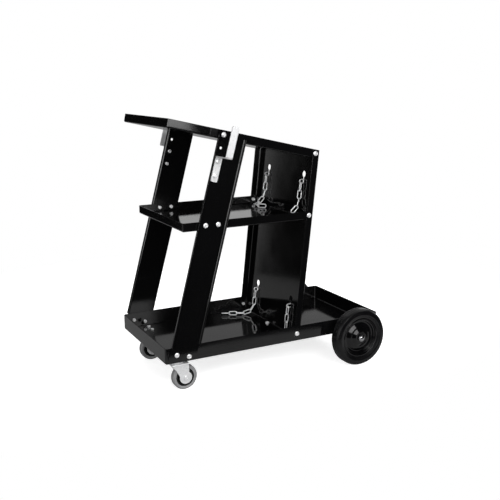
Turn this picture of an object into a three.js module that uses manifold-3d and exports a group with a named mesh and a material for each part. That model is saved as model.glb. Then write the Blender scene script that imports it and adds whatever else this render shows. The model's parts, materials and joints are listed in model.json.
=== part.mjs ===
// Three-tier welding cart, standing empty: a sloping top tray, a middle shelf and a base tray of folded
// sheet, two leaning front legs, a folded rear panel with four keyholes for two chains, two cable hooks,
// two swivel castors and two large wheels.
// Millimetres, +Z up. The origin is on the floor under the middle of the base tray. +X points to the large
// wheels, -X to the castors, +Y is the right side and -Y the left side.
import * as THREE from 'three';
import { mergeVertices } from 'three/addons/utils/BufferGeometryUtils.js';
import Module from 'manifold-3d';

const wasm = await Module();
wasm.setup();

// ---------------------------------------------------------------- driving dimensions

const fit = 0.3; // gap left between two pieces that touch
const sheet = 2; // wall of the folded sheet
const fold = 3; // inside radius of a fold in the sheet

// clear: height over the floor; spread: how far each side stands out past the upper trays' sides
const base = { length: 720, spread: 5, wall: 47, clear: 98, corner: 7 };
const tray = { width: 352, wall: 25, corner: 6 }; // the two upper trays

// inset: distance from the front end of the base tray, or from its rear end on the panel and the wheels
const shelf = { inset: 62.5, bottom: 466 };
const top = { inset: 30, frontZ: 772.3, tilt: THREE.MathUtils.degToRad(12.63) }; // its upper front edge
const leg = { inset: 46, width: 85, lean: THREE.MathUtils.degToRad(15.15), lip: 10, corner: 12, toe: 6 };
const panel = { inset: 285.5, lean: THREE.MathUtils.degToRad(6.33), flange: 22, foot: 24, footWidth: 300 };
const keyhole = { radius: 9.5, slot: 3.1, drop: 29, spread: 107 };

const hook = { width: 20, thick: 3, reach: 60, plate: 69, rise: 86, bend: 3, below: 17 };
const legRow = 16.8; // row of holes, measured in from the leg's front edge
// Bolts and holes in a leg, below the upper front edge of the top tray; keyholes, over the middle shelf and
// over the underside of the base tray.
const legDrops = { topBolt: 48.3, spareHole: 83.3, upperHookBolt: 119.3, lowerHookBolt: 157.3 };
const keyholeRise = { upper: 126, lower: 111 };
const heights = {
  topBolt: top.frontZ - legDrops.topBolt,
  spareHole: top.frontZ - legDrops.spareHole,
  upperHookBolt: top.frontZ - legDrops.upperHookBolt,
  lowerHookBolt: top.frontZ - legDrops.lowerHookBolt,
  upperKeyhole: shelf.bottom + keyholeRise.upper,
  lowerKeyhole: base.clear + keyholeRise.lower,
};
const footPairRise = 20; // the pair of bolts in a leg's foot, over the underside of the base tray
const pairPitch = 38; // two bolts side by side in a leg
const flangeRow = 14.2; // bolts in the panel's side flanges, in front of its rear face
const topBoltDrop = 8.5; // the panel's upper bolts, under the top tray's edge
const footRow = 12; // bolt in the panel's foot, in front of its front face

const bolt = { shank: 3, head: 5.6, flange: 7, flangeThick: 1.2, headHigh: 4.4, nut: 5.6, nutHigh: 6 };
const holeRoom = 0.8; // a bolt hole's radius over its shank
const past = 4; // a hole's cutter runs this far past the wall that it cuts
const standMargin = 14; // left free between what stands in a tray and the tray's outer faces

// gap: between the base tray's wall and the wheel
const wheel = { inset: 95, radius: 89, width: 40, gap: 11 };
const tyre = { bead: 5, bulge: 12, shoulder: 4, crown: 9, lip: 2 };
const rim = { radius: 61.5, edge: 4, dish: 10, depth: 11, cone: 16, floor: 17, hub: 16, hubDrop: 3, ribs: 6 };
const rib = { length: 20, height: 8, thick: 2.4 };
const axle = { radius: 6.3, room: 0.35, past: 4 };
const cap = { radius: 10.5, thick: 1.6, dome: 3, room: 0.65 };
const saddle = { thick: 3, width: 24, ear: 15, y: 145 };

const castor = { inset: 51, y: 135, radius: 37.5, width: 24, core: 27, trail: 21, hub: 8, bolt: 4, pin: 4.5 };
const castorPlate = { length: 60, width: 50, thick: 2.5, boltsX: 42, boltsY: 32, corner: 5 };
const race = { slope: 3, rise: 5, pinHead: 8, pinHeadHigh: 3 }; // the ball race under the castor's plate
const fork = { thick: 2.2, crown: 20, eye: 16, gap: 1.6, bend: 3, drop: 15.5, back: 31, cheek: 8 };
const castorTread = { bead: 2, shoulder: 4, crown: 5, web: 6 };
const castorNut = { across: 6.5, high: 4.5, past: 1.5, head: 7, headHigh: 4 };

const link = { wire: 1.6, width: 14, length: 30 }; // wire is a radius; width and length are outside sizes
const bite = 0.45; // how far neighbouring links of one strand run into each other
const hangOut = 1.5; // a strand hangs this far past the straight run of the link in the slot
const loopLinks = { upper: 13, lower: 11 }; // in the loops behind the panel
const tailLinks = 3; // in the strand that hangs free at the lower left

// How the loose ends run on from the link in the slot: forward, outward and up from the floor, in pitches.
const looseEnds = {
  upperRight: [[1, 0, 0.68], [1.66, -0.12, 0.17], [2.58, -0.75, 0.08], [2.33, -1.91, 0.04], [1.08, -2.16, 0]],
  upperLeft: [[1, 0, 0.68], [1.58, -0.08, 0.17], [2.5, -0.25, 0.04]],
  lowerRight: [[0.91, 0.04, 0.54], [1.66, 0.37, 0.08], [3.5, 1.33, 0], [5.5, 2.33, 0]],
};
const hangingPitches = 2; // a loose end hangs straight this far first
const shelfChainRoom = 70; // the loose ends on the middle shelf lie within this much of its rear end
const lyingRoll = Math.PI / 4; // turn of the last link of a loose end, which lies on a floor
const lyingShare = 0.88; // height of a lying, rolled link's middle, as a share of its round ends' radius

// ---------------------------------------------------------------- materials

const coat = new THREE.MeshStandardMaterial({ color: 0x0b0b0c, roughness: 0.22, metalness: 0.1 });
const zinc = new THREE.MeshStandardMaterial({ color: 0xc4c6c8, roughness: 0.32, metalness: 0.9 });
const blackRubber = new THREE.MeshStandardMaterial({ color: 0x1b1b1c, roughness: 0.7, metalness: 0 });
const greyRubber = new THREE.MeshStandardMaterial({ color: 0x4a4a4b, roughness: 0.75, metalness: 0 });
const blackPlastic = new THREE.MeshStandardMaterial({ color: 0x0d0d0e, roughness: 0.3, metalness: 0 });

// ---------------------------------------------------------------- shapes and solids

const X = new THREE.Vector3(1, 0, 0);
const Y = new THREE.Vector3(0, 1, 0);
const Z = new THREE.Vector3(0, 0, 1);

function solidOf(geometry) {
  const bare = geometry.clone();
  bare.deleteAttribute('normal');
  bare.deleteAttribute('uv');
  const merged = mergeVertices(bare, 1e-4);
  return new wasm.Manifold(new wasm.Mesh({
    numProp: 3,
    vertProperties: new Float32Array(merged.attributes.position.array),
    triVerts: new Uint32Array(merged.index.array),
  }));
}

function geometryOf(solid) {
  const mesh = solid.getMesh();
  const geometry = new THREE.BufferGeometry();
  geometry.setAttribute('position', new THREE.BufferAttribute(mesh.vertProperties, 3));
  geometry.setIndex(new THREE.BufferAttribute(mesh.triVerts, 1));
  geometry.computeVertexNormals();
  return geometry;
}

function join(geometries) {
  return geometryOf(geometries.map(solidOf).reduce((sum, next) => sum.add(next)));
}

function cut(geometry, tools) {
  return geometryOf(tools.map(solidOf).reduce((rest, tool) => rest.subtract(tool), solidOf(geometry)));
}

function common(geometry, other) {
  return geometryOf(solidOf(geometry).intersect(solidOf(other)));
}

// A shape drawn in the plane of the two directions, given depth both ways from that plane.
function extrude(shape, depth, right, up, steps = 1) {
  const geometry = new THREE.ExtrudeGeometry(shape, { depth, steps, bevelEnabled: false, curveSegments: 3 });
  geometry.translate(0, 0, -depth / 2);
  const along = new THREE.Vector3().crossVectors(right, up);
  return geometry.applyMatrix4(new THREE.Matrix4().makeBasis(right, up, along));
}

// A polygon whose corners are rounded; each corner is [x, y, radius].
function roundedShape(corners) {
  const shape = new THREE.Shape();
  const count = corners.length;
  corners.forEach(([x, y, radius = 0], i) => {
    const corner = new THREE.Vector2(x, y);
    const before = new THREE.Vector2(...corners[(i + count - 1) % count]);
    const after = new THREE.Vector2(...corners[(i + 1) % count]);
    const start = before.sub(corner).setLength(radius).add(corner);
    const end = after.sub(corner).setLength(radius).add(corner);
    if (i === 0) shape.moveTo(start.x, start.y);
    else shape.lineTo(start.x, start.y);
    if (radius > 0) shape.quadraticCurveTo(x, y, end.x, end.y);
  });
  shape.closePath();
  return shape;
}

// The section of a strip bent along a line of corners, which is the middle of its wall.
function foldedShape(corners, thick, radius, steps = 2) {
  const middle = radius + thick / 2;
  const places = corners.map(([x, y]) => new THREE.Vector2(x, y));
  const inner = [];
  const outer = [];
  const put = (place, normal) => {
    outer.push(place.clone().addScaledVector(normal, thick / 2));
    inner.push(place.clone().addScaledVector(normal, -thick / 2));
  };
  const normalOf = (direction) => new THREE.Vector2(-direction.y, direction.x);
  const heading = (i) => places[i + 1].clone().sub(places[i]).normalize();
  put(places[0], normalOf(heading(0)));
  for (let i = 1; i < places.length - 1; i += 1) {
    const arriving = heading(i - 1);
    const leaving = heading(i);
    const turn = Math.atan2(arriving.cross(leaving), arriving.dot(leaving));
    const side = Math.sign(turn);
    const start = places[i].clone().addScaledVector(arriving, -middle * Math.tan(Math.abs(turn) / 2));
    const centre = start.addScaledVector(normalOf(arriving), side * middle);
    for (let k = 0; k <= steps; k += 1) {
      const normal = normalOf(arriving).rotateAround(new THREE.Vector2(), (turn * k) / steps);
      put(centre.clone().addScaledVector(normal, -side * middle), normal);
    }
  }
  put(places.at(-1), normalOf(heading(places.length - 2)));
  return new THREE.Shape([...outer, ...inner.reverse()]);
}

// A skin over closed rings of equally many points. A flat fan closes the first ring, and the last is closed
// around flat rectangles, each given by its corners, that are left whole.
function loft(rings, rectangles = []) {
  const count = rings[0].length;
  const faces = [];
  for (let r = 0; r < rings.length - 1; r += 1) {
    for (let i = 0; i < count; i += 1) {
      const a = r * count + i;
      const b = r * count + ((i + 1) % count);
      faces.push(a, b, b + count, a, b + count, a + count);
    }
  }
  for (let i = 1; i < count - 1; i += 1) faces.push(0, i + 1, i);
  const lastRing = rings.at(-1);
  const places = rings.flat();
  const last = places.length - count;
  for (const corners of rectangles) {
    const at = places.length;
    corners.forEach(([x, y]) => places.push([x, y, lastRing[0][2]]));
    faces.push(at, at + 2, at + 1, at, at + 3, at + 2);
  }
  const flat = (points) => points.map(([x, y]) => new THREE.Vector2(x, y));
  for (const corners of THREE.ShapeUtils.triangulateShape(flat(lastRing), rectangles.map(flat))) {
    faces.push(...corners.map((i) => last + i));
  }
  const geometry = new THREE.BufferGeometry();
  geometry.setAttribute('position', new THREE.Float32BufferAttribute(places.flat(), 3));
  geometry.setIndex(faces);
  return geometry;
}

// A tray folded from one sheet with its four walls turned up; its underside is at z = 0. Each bay is a
// part of its floor on which something can stand, from one x to another and so wide to either side.
function pan(length, width, height, corner, bays) {
  const outside = fold + sheet;
  const cornerSteps = 2;
  const ring = (inset, z) => {
    const points = [];
    for (let quarter = 0; quarter < 4; quarter += 1) {
      const sx = quarter === 0 || quarter === 3 ? 1 : -1;
      const sy = quarter < 2 ? 1 : -1;
      for (let k = 0; k <= cornerSteps; k += 1) {
        const angle = ((quarter + k / cornerSteps) * Math.PI) / 2;
        points.push([
          sx * (length / 2 - corner) + (corner - inset) * Math.cos(angle),
          sy * (width / 2 - corner) + (corner - inset) * Math.sin(angle),
          z,
        ]);
      }
    }
    return points;
  };
  const rings = [];
  const foldSteps = 2;
  for (let k = 0; k <= foldSteps; k += 1) {
    const angle = ((1 - k / foldSteps) * Math.PI) / 2;
    rings.push(ring(outside * (1 - Math.cos(angle)), outside * (1 - Math.sin(angle))));
  }
  rings.push(ring(0, height), ring(sheet, height));
  for (let k = 0; k <= foldSteps; k += 1) {
    const angle = ((k / foldSteps) * Math.PI) / 2;
    rings.push(ring(outside - fold * Math.cos(angle), outside - fold * Math.sin(angle)));
  }
  return loft(rings, bays.map(([from, to, side]) => [[from, -side], [from, side], [to, side], [to, -side]]));
}

// A round bar or hole along Y between two places.
function rodAlongY(radius, x, z, from, to, sides = 6) {
  const geometry = new THREE.CylinderGeometry(radius, radius, Math.abs(to - from), sides);
  return geometry.translate(x, (from + to) / 2, z);
}

function rodAlongZ(radius, x, y, from, to, sides = 6) {
  const geometry = new THREE.CylinderGeometry(radius, radius, Math.abs(to - from), sides);
  return geometry.rotateX(Math.PI / 2).translate(x, y, (from + to) / 2);
}

// A ring or disc turned about Y from a profile of [radius, y] corners, closed on itself.
function turned(profile, segments) {
  const points = profile.map(([r, y]) => new THREE.Vector2(r, y));
  return new THREE.LatheGeometry([...points, points[0]], segments);
}

// The same, for a profile that starts and ends on the axis.
function turnedSolid(profile, segments) {
  return new THREE.LatheGeometry(profile.map(([r, y]) => new THREE.Vector2(r, y)), segments);
}

// ---------------------------------------------------------------- places that pieces share

const frontEnd = -base.length / 2;
const rearEnd = base.length / 2;
const baseFloor = base.clear + sheet;
const baseMid = base.clear + base.wall / 2;
const baseRim = base.clear + base.wall;
const shelfFront = frontEnd + shelf.inset;
const shelfFloor = shelf.bottom + sheet;
const shelfMid = shelf.bottom + (tray.wall + sheet) / 2;
const topFront = frontEnd + top.inset;
const trayFace = tray.width / 2; // outer face of the upper trays' side walls
const baseFace = trayFace + base.spread;
const legFace = trayFace + fit; // inner face of a leg where it stands upright

const topLineZ = (x) => top.frontZ - (x - topFront) * Math.tan(top.tilt); // upper edge of the top tray
const legAxisX = (z) => frontEnd + leg.inset + (z - base.clear) * Math.tan(leg.lean);
const legPointX = (z, across) => legAxisX(z) + across / Math.cos(leg.lean);
const legRowX = (z) => legPointX(z, legRow - leg.width / 2);
const panelRearX = (z) => rearEnd - panel.inset + (z - base.clear) * Math.tan(panel.lean);
const panelFrontX = (z) => panelRearX(z) - sheet / Math.cos(panel.lean);
const panelMiddleX = (z) => (panelRearX(z) + panelFrontX(z)) / 2;
const arc = link.width / 2 - link.wire; // radius of a link's round ends, at the middle of the wire
const straight = link.length - link.width; // straight run between them
const pitch = link.length - 4 * link.wire + bite;
const lyingHigh = lyingShare * arc + link.wire + fit; // middle of a lying link over the floor
const trailing = looseEnds.lowerRight.at(-1)[0] * pitch; // how far the lower loose end runs forward
const castorX = frontEnd + castor.inset;
const wheelX = rearEnd - wheel.inset;

// Where a line up the leg or panel, x = lineX(z), meets the upper edge of the top tray.
function meetTopLine(lineX) {
  const slope = lineX(1) - lineX(0);
  const z = (topLineZ(0) - Math.tan(top.tilt) * lineX(0)) / (1 + Math.tan(top.tilt) * slope);
  return [lineX(z), z];
}

// How far a leg stands out at a height: below the middle shelf it flares, to clear the wider base tray.
function flareAt(z) {
  return base.spread * Math.max((shelfMid - z) / (shelfMid - baseRim), 0);
}

const sides = { left: -1, right: 1 };

// ---------------------------------------------------------------- bolts

// Every bolt through a side of the cart, drawn for the right side: x and z of its middle, the outer face
// under its head, the inner face under its nut, and the pieces that it passes through.
const sideBolts = [];

function addSideBolt(name, x, z, outer, inner, through) {
  sideBolts.push({ name, x, z, outer, inner, through });
}

const legWeb = legFace + sheet; // outer face of a leg's web and of the panel's side flanges
const footPair = base.clear + footPairRise;
const trayInside = trayFace - sheet;
addSideBolt('top_leg', legRowX(heights.topBolt), heights.topBolt, legWeb, trayInside, ['leg', 'top']);
const hookOuter = legWeb + fit + hook.thick;
for (const [name, z] of [['hook_upper', heights.upperHookBolt], ['hook_lower', heights.lowerHookBolt]]) {
  addSideBolt(name, legRowX(z), z, hookOuter, legFace, ['leg', 'hook']);
}
for (const [name, way] of [['front', -1], ['rear', 1]]) {
  const across = (way * pairPitch) / 2;
  const shelfX = legAxisX(shelfMid) + across;
  addSideBolt(`shelf_leg_${name}`, shelfX, shelfMid, legWeb, trayInside, ['leg', 'shelf']);
  const x = legAxisX(footPair) + across * Math.cos(leg.lean);
  const z = footPair - across * Math.sin(leg.lean);
  addSideBolt(`base_leg_${name}`, x, z, legWeb + flareAt(z), baseFace - sheet, ['leg', 'base']);
}
const topBoltZ = meetTopLine(panelRearX)[1] - topBoltDrop;
for (const [name, z, outer, inner, carried] of [
  ['panel_top', topBoltZ, legWeb, trayInside, 'top'],
  ['panel_shelf', shelfMid, legWeb, trayInside, 'shelf'],
  ['panel_base', baseMid, baseFace, legFace, 'base'],
]) {
  addSideBolt(name, panelRearX(z) - flangeRow, z, outer, inner, ['panel', carried]);
}

const footBoltX = panelFrontX(baseFloor) - footRow;

// Holes for the bolts that pass through a piece, on both sides or on one.
function boltHoles(piece, sideSigns = [-1, 1]) {
  const bore = bolt.shank + holeRoom;
  return sideSigns.flatMap((sign) => sideBolts
    .filter(({ through }) => through.includes(piece))
    .map(({ x, z, outer, inner }) => rodAlongY(bore, x, z, sign * (inner - past), sign * (outer + past))));
}

// A flanged hexagon bolt with its nut, along Y: its head is at +Y, and the middle of its grip is at 0.
function boltGeometry(grip) {
  const under = grip / 2 + fit;
  return turnedSolid([
    [0, -under - bolt.nutHigh],
    [bolt.nut, -under - bolt.nutHigh],
    [bolt.nut, -under],
    [bolt.shank, -under],
    [bolt.shank, under],
    [bolt.flange, under],
    [bolt.flange, under + bolt.flangeThick],
    [bolt.head, under + bolt.flangeThick],
    [bolt.head, under + bolt.headHigh],
    [0, under + bolt.headHigh],
  ], 6);
}

// ---------------------------------------------------------------- trays

function baseTray() {
  const chainEnd = slotCentre(heights.lowerKeyhole, 1).x - trailing;
  const body = pan(base.length, 2 * baseFace, base.wall, base.corner, [
    [castorX + castorPlate.length / 2 + fold, chainEnd, trayFace - standMargin],
    [panelRearX(heights.lowerKeyhole) + standMargin, rearEnd - standMargin, baseFace - standMargin],
  ]);
  body.translate(0, 0, base.clear);
  const castorHoles = Object.values(sides).flatMap((sign) => castorBoltPlaces(sign)
    .map(([x, y]) => rodAlongZ(bolt.shank + holeRoom, x, y, base.clear - past, baseFloor + past)));
  const footHole = rodAlongZ(bolt.shank + holeRoom, footBoltX, 0, base.clear - past, baseFloor + past);
  return cut(body, [...boltHoles('base'), ...castorHoles, footHole]);
}

function middleShelf() {
  const length = panelFrontX(shelf.bottom) - fit - shelfFront;
  const bay = [standMargin - length / 2, length / 2 - shelfChainRoom, trayFace - standMargin];
  const body = pan(length, tray.width, tray.wall, tray.corner, [bay]);
  body.translate(shelfFront + length / 2, 0, shelf.bottom);
  return cut(body, boltHoles('shelf'));
}

function topTray() {
  const room = panelFrontX(top.frontZ) - fit - topFront;
  const length = room / (Math.cos(top.tilt) + Math.sin(top.tilt) * Math.tan(panel.lean));
  const bay = [standMargin - length / 2, length / 2 - standMargin, trayFace - standMargin];
  const body = pan(length, tray.width, tray.wall, tray.corner, [bay]);
  body.translate(length / 2, 0, -tray.wall).rotateY(top.tilt).translate(topFront, 0, top.frontZ);
  return cut(body, boltHoles('top'));
}

// ---------------------------------------------------------------- front legs

// Takes what is drawn upright about the leg's axis to where the lean and the flare put it.
function leanLeg(geometry, sign) {
  const places = geometry.attributes.position;
  for (let i = 0; i < places.count; i += 1) {
    const z = places.getZ(i);
    places.setX(i, places.getX(i) / Math.cos(leg.lean) + legAxisX(z));
    places.setY(i, places.getY(i) + sign * flareAt(z));
  }
  return geometry;
}

// A channel of sheet leaning back: a web with a narrow lip turned outward along both edges.
function frontLeg(sign) {
  const edge = leg.width / 2 - sheet / 2;
  const reach = leg.lip - sheet / 2;
  const section = foldedShape(
    [[-edge, sign * reach], [-edge, 0], [edge, 0], [edge, sign * reach]], sheet, fold,
  );
  const channel = extrude(section, 2 * top.frontZ, X, Y, 2);
  channel.translate(0, sign * (legFace + sheet / 2), shelfMid);

  const frontX = (z) => legPointX(z, -leg.width / 2);
  const rearX = (z) => legPointX(z, leg.width / 2);
  const low = base.clear + leg.toe;
  const outline = roundedShape([
    [frontX(low), low, leg.corner],
    [rearX(low), low, leg.corner],
    [...meetTopLine(rearX), leg.corner],
    [...meetTopLine(frontX), leg.corner / 2],
  ]);
  const trimmed = common(leanLeg(channel, sign), extrude(outline, 3 * baseFace, X, Z));

  // The lips stop short of the base tray's rim and of the leg's upper end.
  const wide = 2 * leg.width;
  const lipStop = leg.corner + fold;
  const lipSide = sign * (legWeb + leg.width / 2);
  const footCut = new THREE.BoxGeometry(wide, leg.width, wide);
  footCut.translate(0, lipSide, baseRim + fit - wide / 2);
  const [headX, headZ] = meetTopLine(legAxisX);
  const headCut = new THREE.BoxGeometry(wide, leg.width, wide).translate(0, 0, wide / 2 - lipStop);
  headCut.rotateY(top.tilt).translate(headX, lipSide, headZ);
  const spareHole = rodAlongY(
    bolt.shank + holeRoom, legRowX(heights.spareHole), heights.spareHole, sign * trayInside, sign * hookOuter,
  );
  return cut(trimmed, [leanLeg(footCut, sign), headCut, ...boltHoles('leg', [sign]), spareHole]);
}

// ---------------------------------------------------------------- rear panel

function rearPanel() {
  const across = new THREE.Vector3(Math.cos(panel.lean), 0, -Math.sin(panel.lean));
  const upward = new THREE.Vector3(Math.sin(panel.lean), 0, Math.cos(panel.lean));
  const side = legFace + sheet / 2;
  const deep = panel.flange - sheet / 2;
  const section = foldedShape([[-deep, side], [0, side], [0, -side], [-deep, -side]], sheet, fold);
  const body = extrude(section, 2 * top.frontZ, across, Y).translate(panelMiddleX(shelfMid), 0, shelfMid);

  const low = baseFloor + fit + sheet + fold + fit; // above the fold of the foot
  const frontX = (z) => panelFrontX(z) - 2 * panel.flange;
  const rearX = (z) => panelRearX(z) + panel.flange;
  const outline = roundedShape([
    [frontX(low), low], [rearX(low), low], meetTopLine(rearX), meetTopLine(frontX),
  ]);
  const trimmed = common(body, extrude(outline, 3 * baseFace, X, Z));

  // The foot is folded forward onto the base tray's floor; its wall is a hair thinner where it joins.
  const seat = baseFloor + fit + sheet / 2;
  const overlap = low + 2 * panel.foot;
  const footShape = foldedShape(
    [[panelFrontX(seat) - panel.foot, seat], [panelMiddleX(seat), seat], [panelMiddleX(overlap), overlap]],
    sheet - 0.1, fold,
  );
  const foot = extrude(footShape, panel.footWidth, X, Z);
  const footHole = rodAlongZ(bolt.shank + holeRoom, footBoltX, 0, seat - past, seat + past);

  const drop = keyhole.drop - keyhole.slot;
  const turn = Math.asin(keyhole.slot / keyhole.radius);
  const opening = new THREE.Shape();
  opening.absarc(0, 0, keyhole.radius, -Math.PI / 2 + turn, (3 * Math.PI) / 2 - turn, false);
  opening.lineTo(-keyhole.slot, -drop);
  opening.absarc(0, -drop, keyhole.slot, Math.PI, 2 * Math.PI, false);
  const keyholes = keyholePlaces().map(({ y, z }) => extrude(opening, 4 * sheet, Y, upward)
    .translate(panelMiddleX(z), y, z));
  return cut(join([trimmed, foot]), [...boltHoles('panel'), footHole, ...keyholes]);
}

function keyholePlaces() {
  const rows = [heights.upperKeyhole, heights.lowerKeyhole];
  return rows.flatMap((z) => [-1, 1].map((sign) => ({ y: sign * keyhole.spread, z })));
}

// ---------------------------------------------------------------- cable hooks

// A flat bar bent to a step: a plate on the leg, an arm reaching out and an end turned up.
function cableHook(sign) {
  const across = new THREE.Vector3(Math.cos(leg.lean), 0, -Math.sin(leg.lean));
  const upward = new THREE.Vector3(Math.sin(leg.lean), 0, Math.cos(leg.lean));
  const face = legWeb + fit + hook.thick / 2;
  const section = foldedShape([
    [sign * face, 0],
    [sign * face, hook.plate],
    [sign * (face + hook.reach), hook.plate],
    [sign * (face + hook.reach), hook.plate + hook.rise],
  ], hook.thick, hook.bend, 3);
  const lowZ = heights.lowerHookBolt - hook.below * Math.cos(leg.lean);
  const bar = extrude(section, hook.width, Y, upward).translate(legRowX(lowZ), 0, lowZ);
  const tall = hook.plate + hook.rise + hook.thick;
  const tip = hook.width / 4;
  const half = hook.width / 2;
  const outline = roundedShape([
    [-half, 0, tip], [half, 0, tip], [half, tall - hook.thick, tip], [-half, tall - hook.thick, tip],
  ]);
  const limit = extrude(outline, 4 * hookOuter, across, upward).translate(legRowX(lowZ), 0, lowZ);
  return cut(common(bar, limit), boltHoles('hook', [sign]));
}

// ---------------------------------------------------------------- large wheels and their axle

const wheelInner = baseFace + wheel.gap;
const wheelMiddle = wheelInner + wheel.width / 2;
const wheelOuter = wheelInner + wheel.width;
const axleBore = axle.radius + axle.room;
const wheelSegments = 22;

// Drawn about the wheel's middle with +Y outward: a crowned tread and two bulging side walls.
function wheelTyre() {
  const half = wheel.width / 2;
  const inner = rim.radius + fit;
  return turned([
    [inner, -half + tyre.bead], [inner + tyre.bulge, -half],
    [wheel.radius - tyre.shoulder, -half + tyre.lip], [wheel.radius, -half + tyre.crown],
    [wheel.radius, half - tyre.crown], [wheel.radius - tyre.shoulder, half - tyre.lip],
    [inner + tyre.bulge, half], [inner, half - tyre.bead],
  ], wheelSegments);
}

// A moulded rim with a stepped hollow face, a cone up to the hub and short ribs inside its edge.
function wheelRim() {
  const half = wheel.width / 2;
  const wall = rim.floor - tyre.bead - rib.thick; // how deep the inner face is hollowed
  const body = turned([
    [rim.radius, -half + tyre.bead], [rim.radius, half - tyre.bead], [rim.radius - rim.edge, half - rim.edge],
    [rim.radius - rim.dish, half - rim.depth], [rim.hub + rim.cone, half - rim.floor],
    [rim.hub, half - rim.hubDrop], [axleBore, half - rim.hubDrop],
    [axleBore, -half], [rim.hub, -half], [rim.hub + rim.cone / 2, -half + wall],
    [rim.radius - rim.dish, -half + wall],
  ], wheelSegments);
  const ribs = Array.from({ length: rim.ribs }, (_, i) => {
    const block = new THREE.BoxGeometry(rib.length, rib.height, rib.thick);
    block.translate(rim.hub + rim.cone + rib.length / 4, half - rim.floor + sheet / 2, 0);
    return block.rotateY(((i + 0.5) * 2 * Math.PI) / rim.ribs);
  });
  return join([body, ...ribs]);
}

function wheelAxle() {
  const end = wheelOuter + axle.past;
  return rodAlongY(axle.radius, 0, 0, -end, end, 16);
}

// A pressed cap on the end of the axle, domed, open toward the wheel.
function axleCap() {
  const bore = axle.radius + cap.room;
  const reach = axle.past + fit;
  return turnedSolid([
    [0, reach], [bore, reach], [bore, fit], [cap.radius, fit], [cap.radius, fit + cap.thick],
    [bore + cap.thick, fit + cap.thick + 1], [bore, reach + cap.thick], [0, reach + cap.dome],
  ], 10);
}

// A strip bent round the axle with an ear to either side, welded under the base tray.
function axleSaddle(y) {
  const radius = axle.radius + fit + saddle.thick / 2;
  const seat = base.clear - fit - saddle.thick / 2 - wheel.radius;
  const section = foldedShape([
    [-radius - saddle.ear, seat], [-radius, seat], [-radius, -radius], [radius, -radius],
    [radius, seat], [radius + saddle.ear, seat],
  ], saddle.thick, 2);
  return extrude(section, saddle.width, X, Z).translate(0, y, 0);
}

// ---------------------------------------------------------------- castors

const castorPlateTop = base.clear - fit;
const raceLow = castorPlateTop - fork.drop; // underside of the ball race, on the fork's crown
const crownTop = raceLow - fit;
const castorSegments = 18;

function castorBoltPlaces(sign) {
  return [[-1, -1], [-1, 1], [1, 1], [1, -1]].map(([i, j]) => [
    castorX + (i * castorPlate.boltsX) / 2, sign * castor.y + (j * castorPlate.boltsY) / 2,
  ]);
}

// The top plate with its ball race, its king pin and the four bolts and nuts that hold it, about the swivel.
function castorTop(sign) {
  const { length, width, thick, corner } = castorPlate;
  const plateMid = castorPlateTop - thick / 2;
  const plate = extrude(roundedShape([
    [-length / 2, -width / 2, corner], [length / 2, -width / 2, corner],
    [length / 2, width / 2, corner], [-length / 2, width / 2, corner],
  ]), thick, X, Y).translate(0, 0, plateMid);
  const below = crownTop - fork.thick - fit;
  const raceAndPin = turnedSolid([
    [0, below - race.pinHeadHigh], [race.pinHead, below - race.pinHeadHigh], [race.pinHead, below],
    [castor.pin, below], [castor.pin, raceLow], [fork.crown - race.slope, raceLow],
    [fork.crown, raceLow + race.rise], [fork.crown - race.slope, plateMid], [0, plateMid],
  ], 14).rotateX(Math.PI / 2);
  const nutSeat = baseFloor + fit;
  const headSeat = castorPlateTop - thick;
  const plateBolt = turnedSolid([
    [0, headSeat - bolt.headHigh], [bolt.head, headSeat - bolt.headHigh], [bolt.head, plateMid],
    [bolt.shank, plateMid], [bolt.shank, nutSeat], [bolt.nut, nutSeat],
    [bolt.nut, nutSeat + bolt.nutHigh], [0, nutSeat + bolt.nutHigh],
  ], 6).rotateX(Math.PI / 2);
  const bolts = castorBoltPlaces(sign).map(([x, y]) => (
    plateBolt.clone().translate(x - castorX, y - sign * castor.y, 0)
  ));
  return join([plate, raceAndPin, ...bolts]);
}

// The yoke: sheet folded down to both sides of the wheel, tapering to a round eye at the wheel's axle.
function castorFork() {
  const inner = castor.width / 2 + fork.gap;
  const wall = inner + fork.thick / 2;
  const axleZ = castor.radius;
  const section = foldedShape([
    [-wall, 0], [-wall, crownTop - fork.thick / 2], [wall, crownTop - fork.thick / 2], [wall, 0],
  ], fork.thick, fork.bend);
  const reach = fork.crown + fork.back + fork.eye;
  const body = extrude(section, 2 * reach, Y, Z);
  const outline = new THREE.Shape();
  outline.moveTo(-fork.crown, crownTop);
  outline.lineTo(-fork.crown, crownTop - fork.cheek);
  outline.lineTo(castor.trail - fork.eye, axleZ);
  outline.absarc(castor.trail, axleZ, fork.eye, Math.PI, 2 * Math.PI, false);
  outline.lineTo(fork.back, axleZ + fork.eye);
  outline.lineTo(fork.back, crownTop);
  const yoke = common(body, extrude(outline, 4 * castor.width, X, Z));
  const pinHole = rodAlongZ(castor.pin + fit, 0, 0, crownTop - 2 * fork.thick, crownTop + fork.thick, 16);
  const axleHole = rodAlongY(castor.bolt + fit, castor.trail, axleZ, -2 * inner, 2 * inner, 10);
  return cut(yoke, [pinHole, axleHole]);
}

function castorTyre() {
  const half = castor.width / 2;
  const inner = castor.core + fit;
  const { bead, shoulder, crown } = castorTread;
  return turned([
    [inner, -half + bead], [castor.radius - shoulder, -half], [castor.radius, -half + crown],
    [castor.radius, half - crown], [castor.radius - shoulder, half], [inner, half - bead],
  ], castorSegments);
}

function castorCore() {
  const half = castor.width / 2;
  const bore = castor.bolt + fit;
  const { bead, shoulder, web } = castorTread;
  return turned([
    [castor.core, -half + bead], [castor.core, half - bead], [castor.core - shoulder, half - bead],
    [castor.hub + fork.bend, half - web], [castor.hub, half], [bore, half],
    [bore, -half], [castor.hub, -half], [castor.hub + fork.bend, -half + web],
    [castor.core - shoulder, -half + bead],
  ], castorSegments);
}

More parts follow.
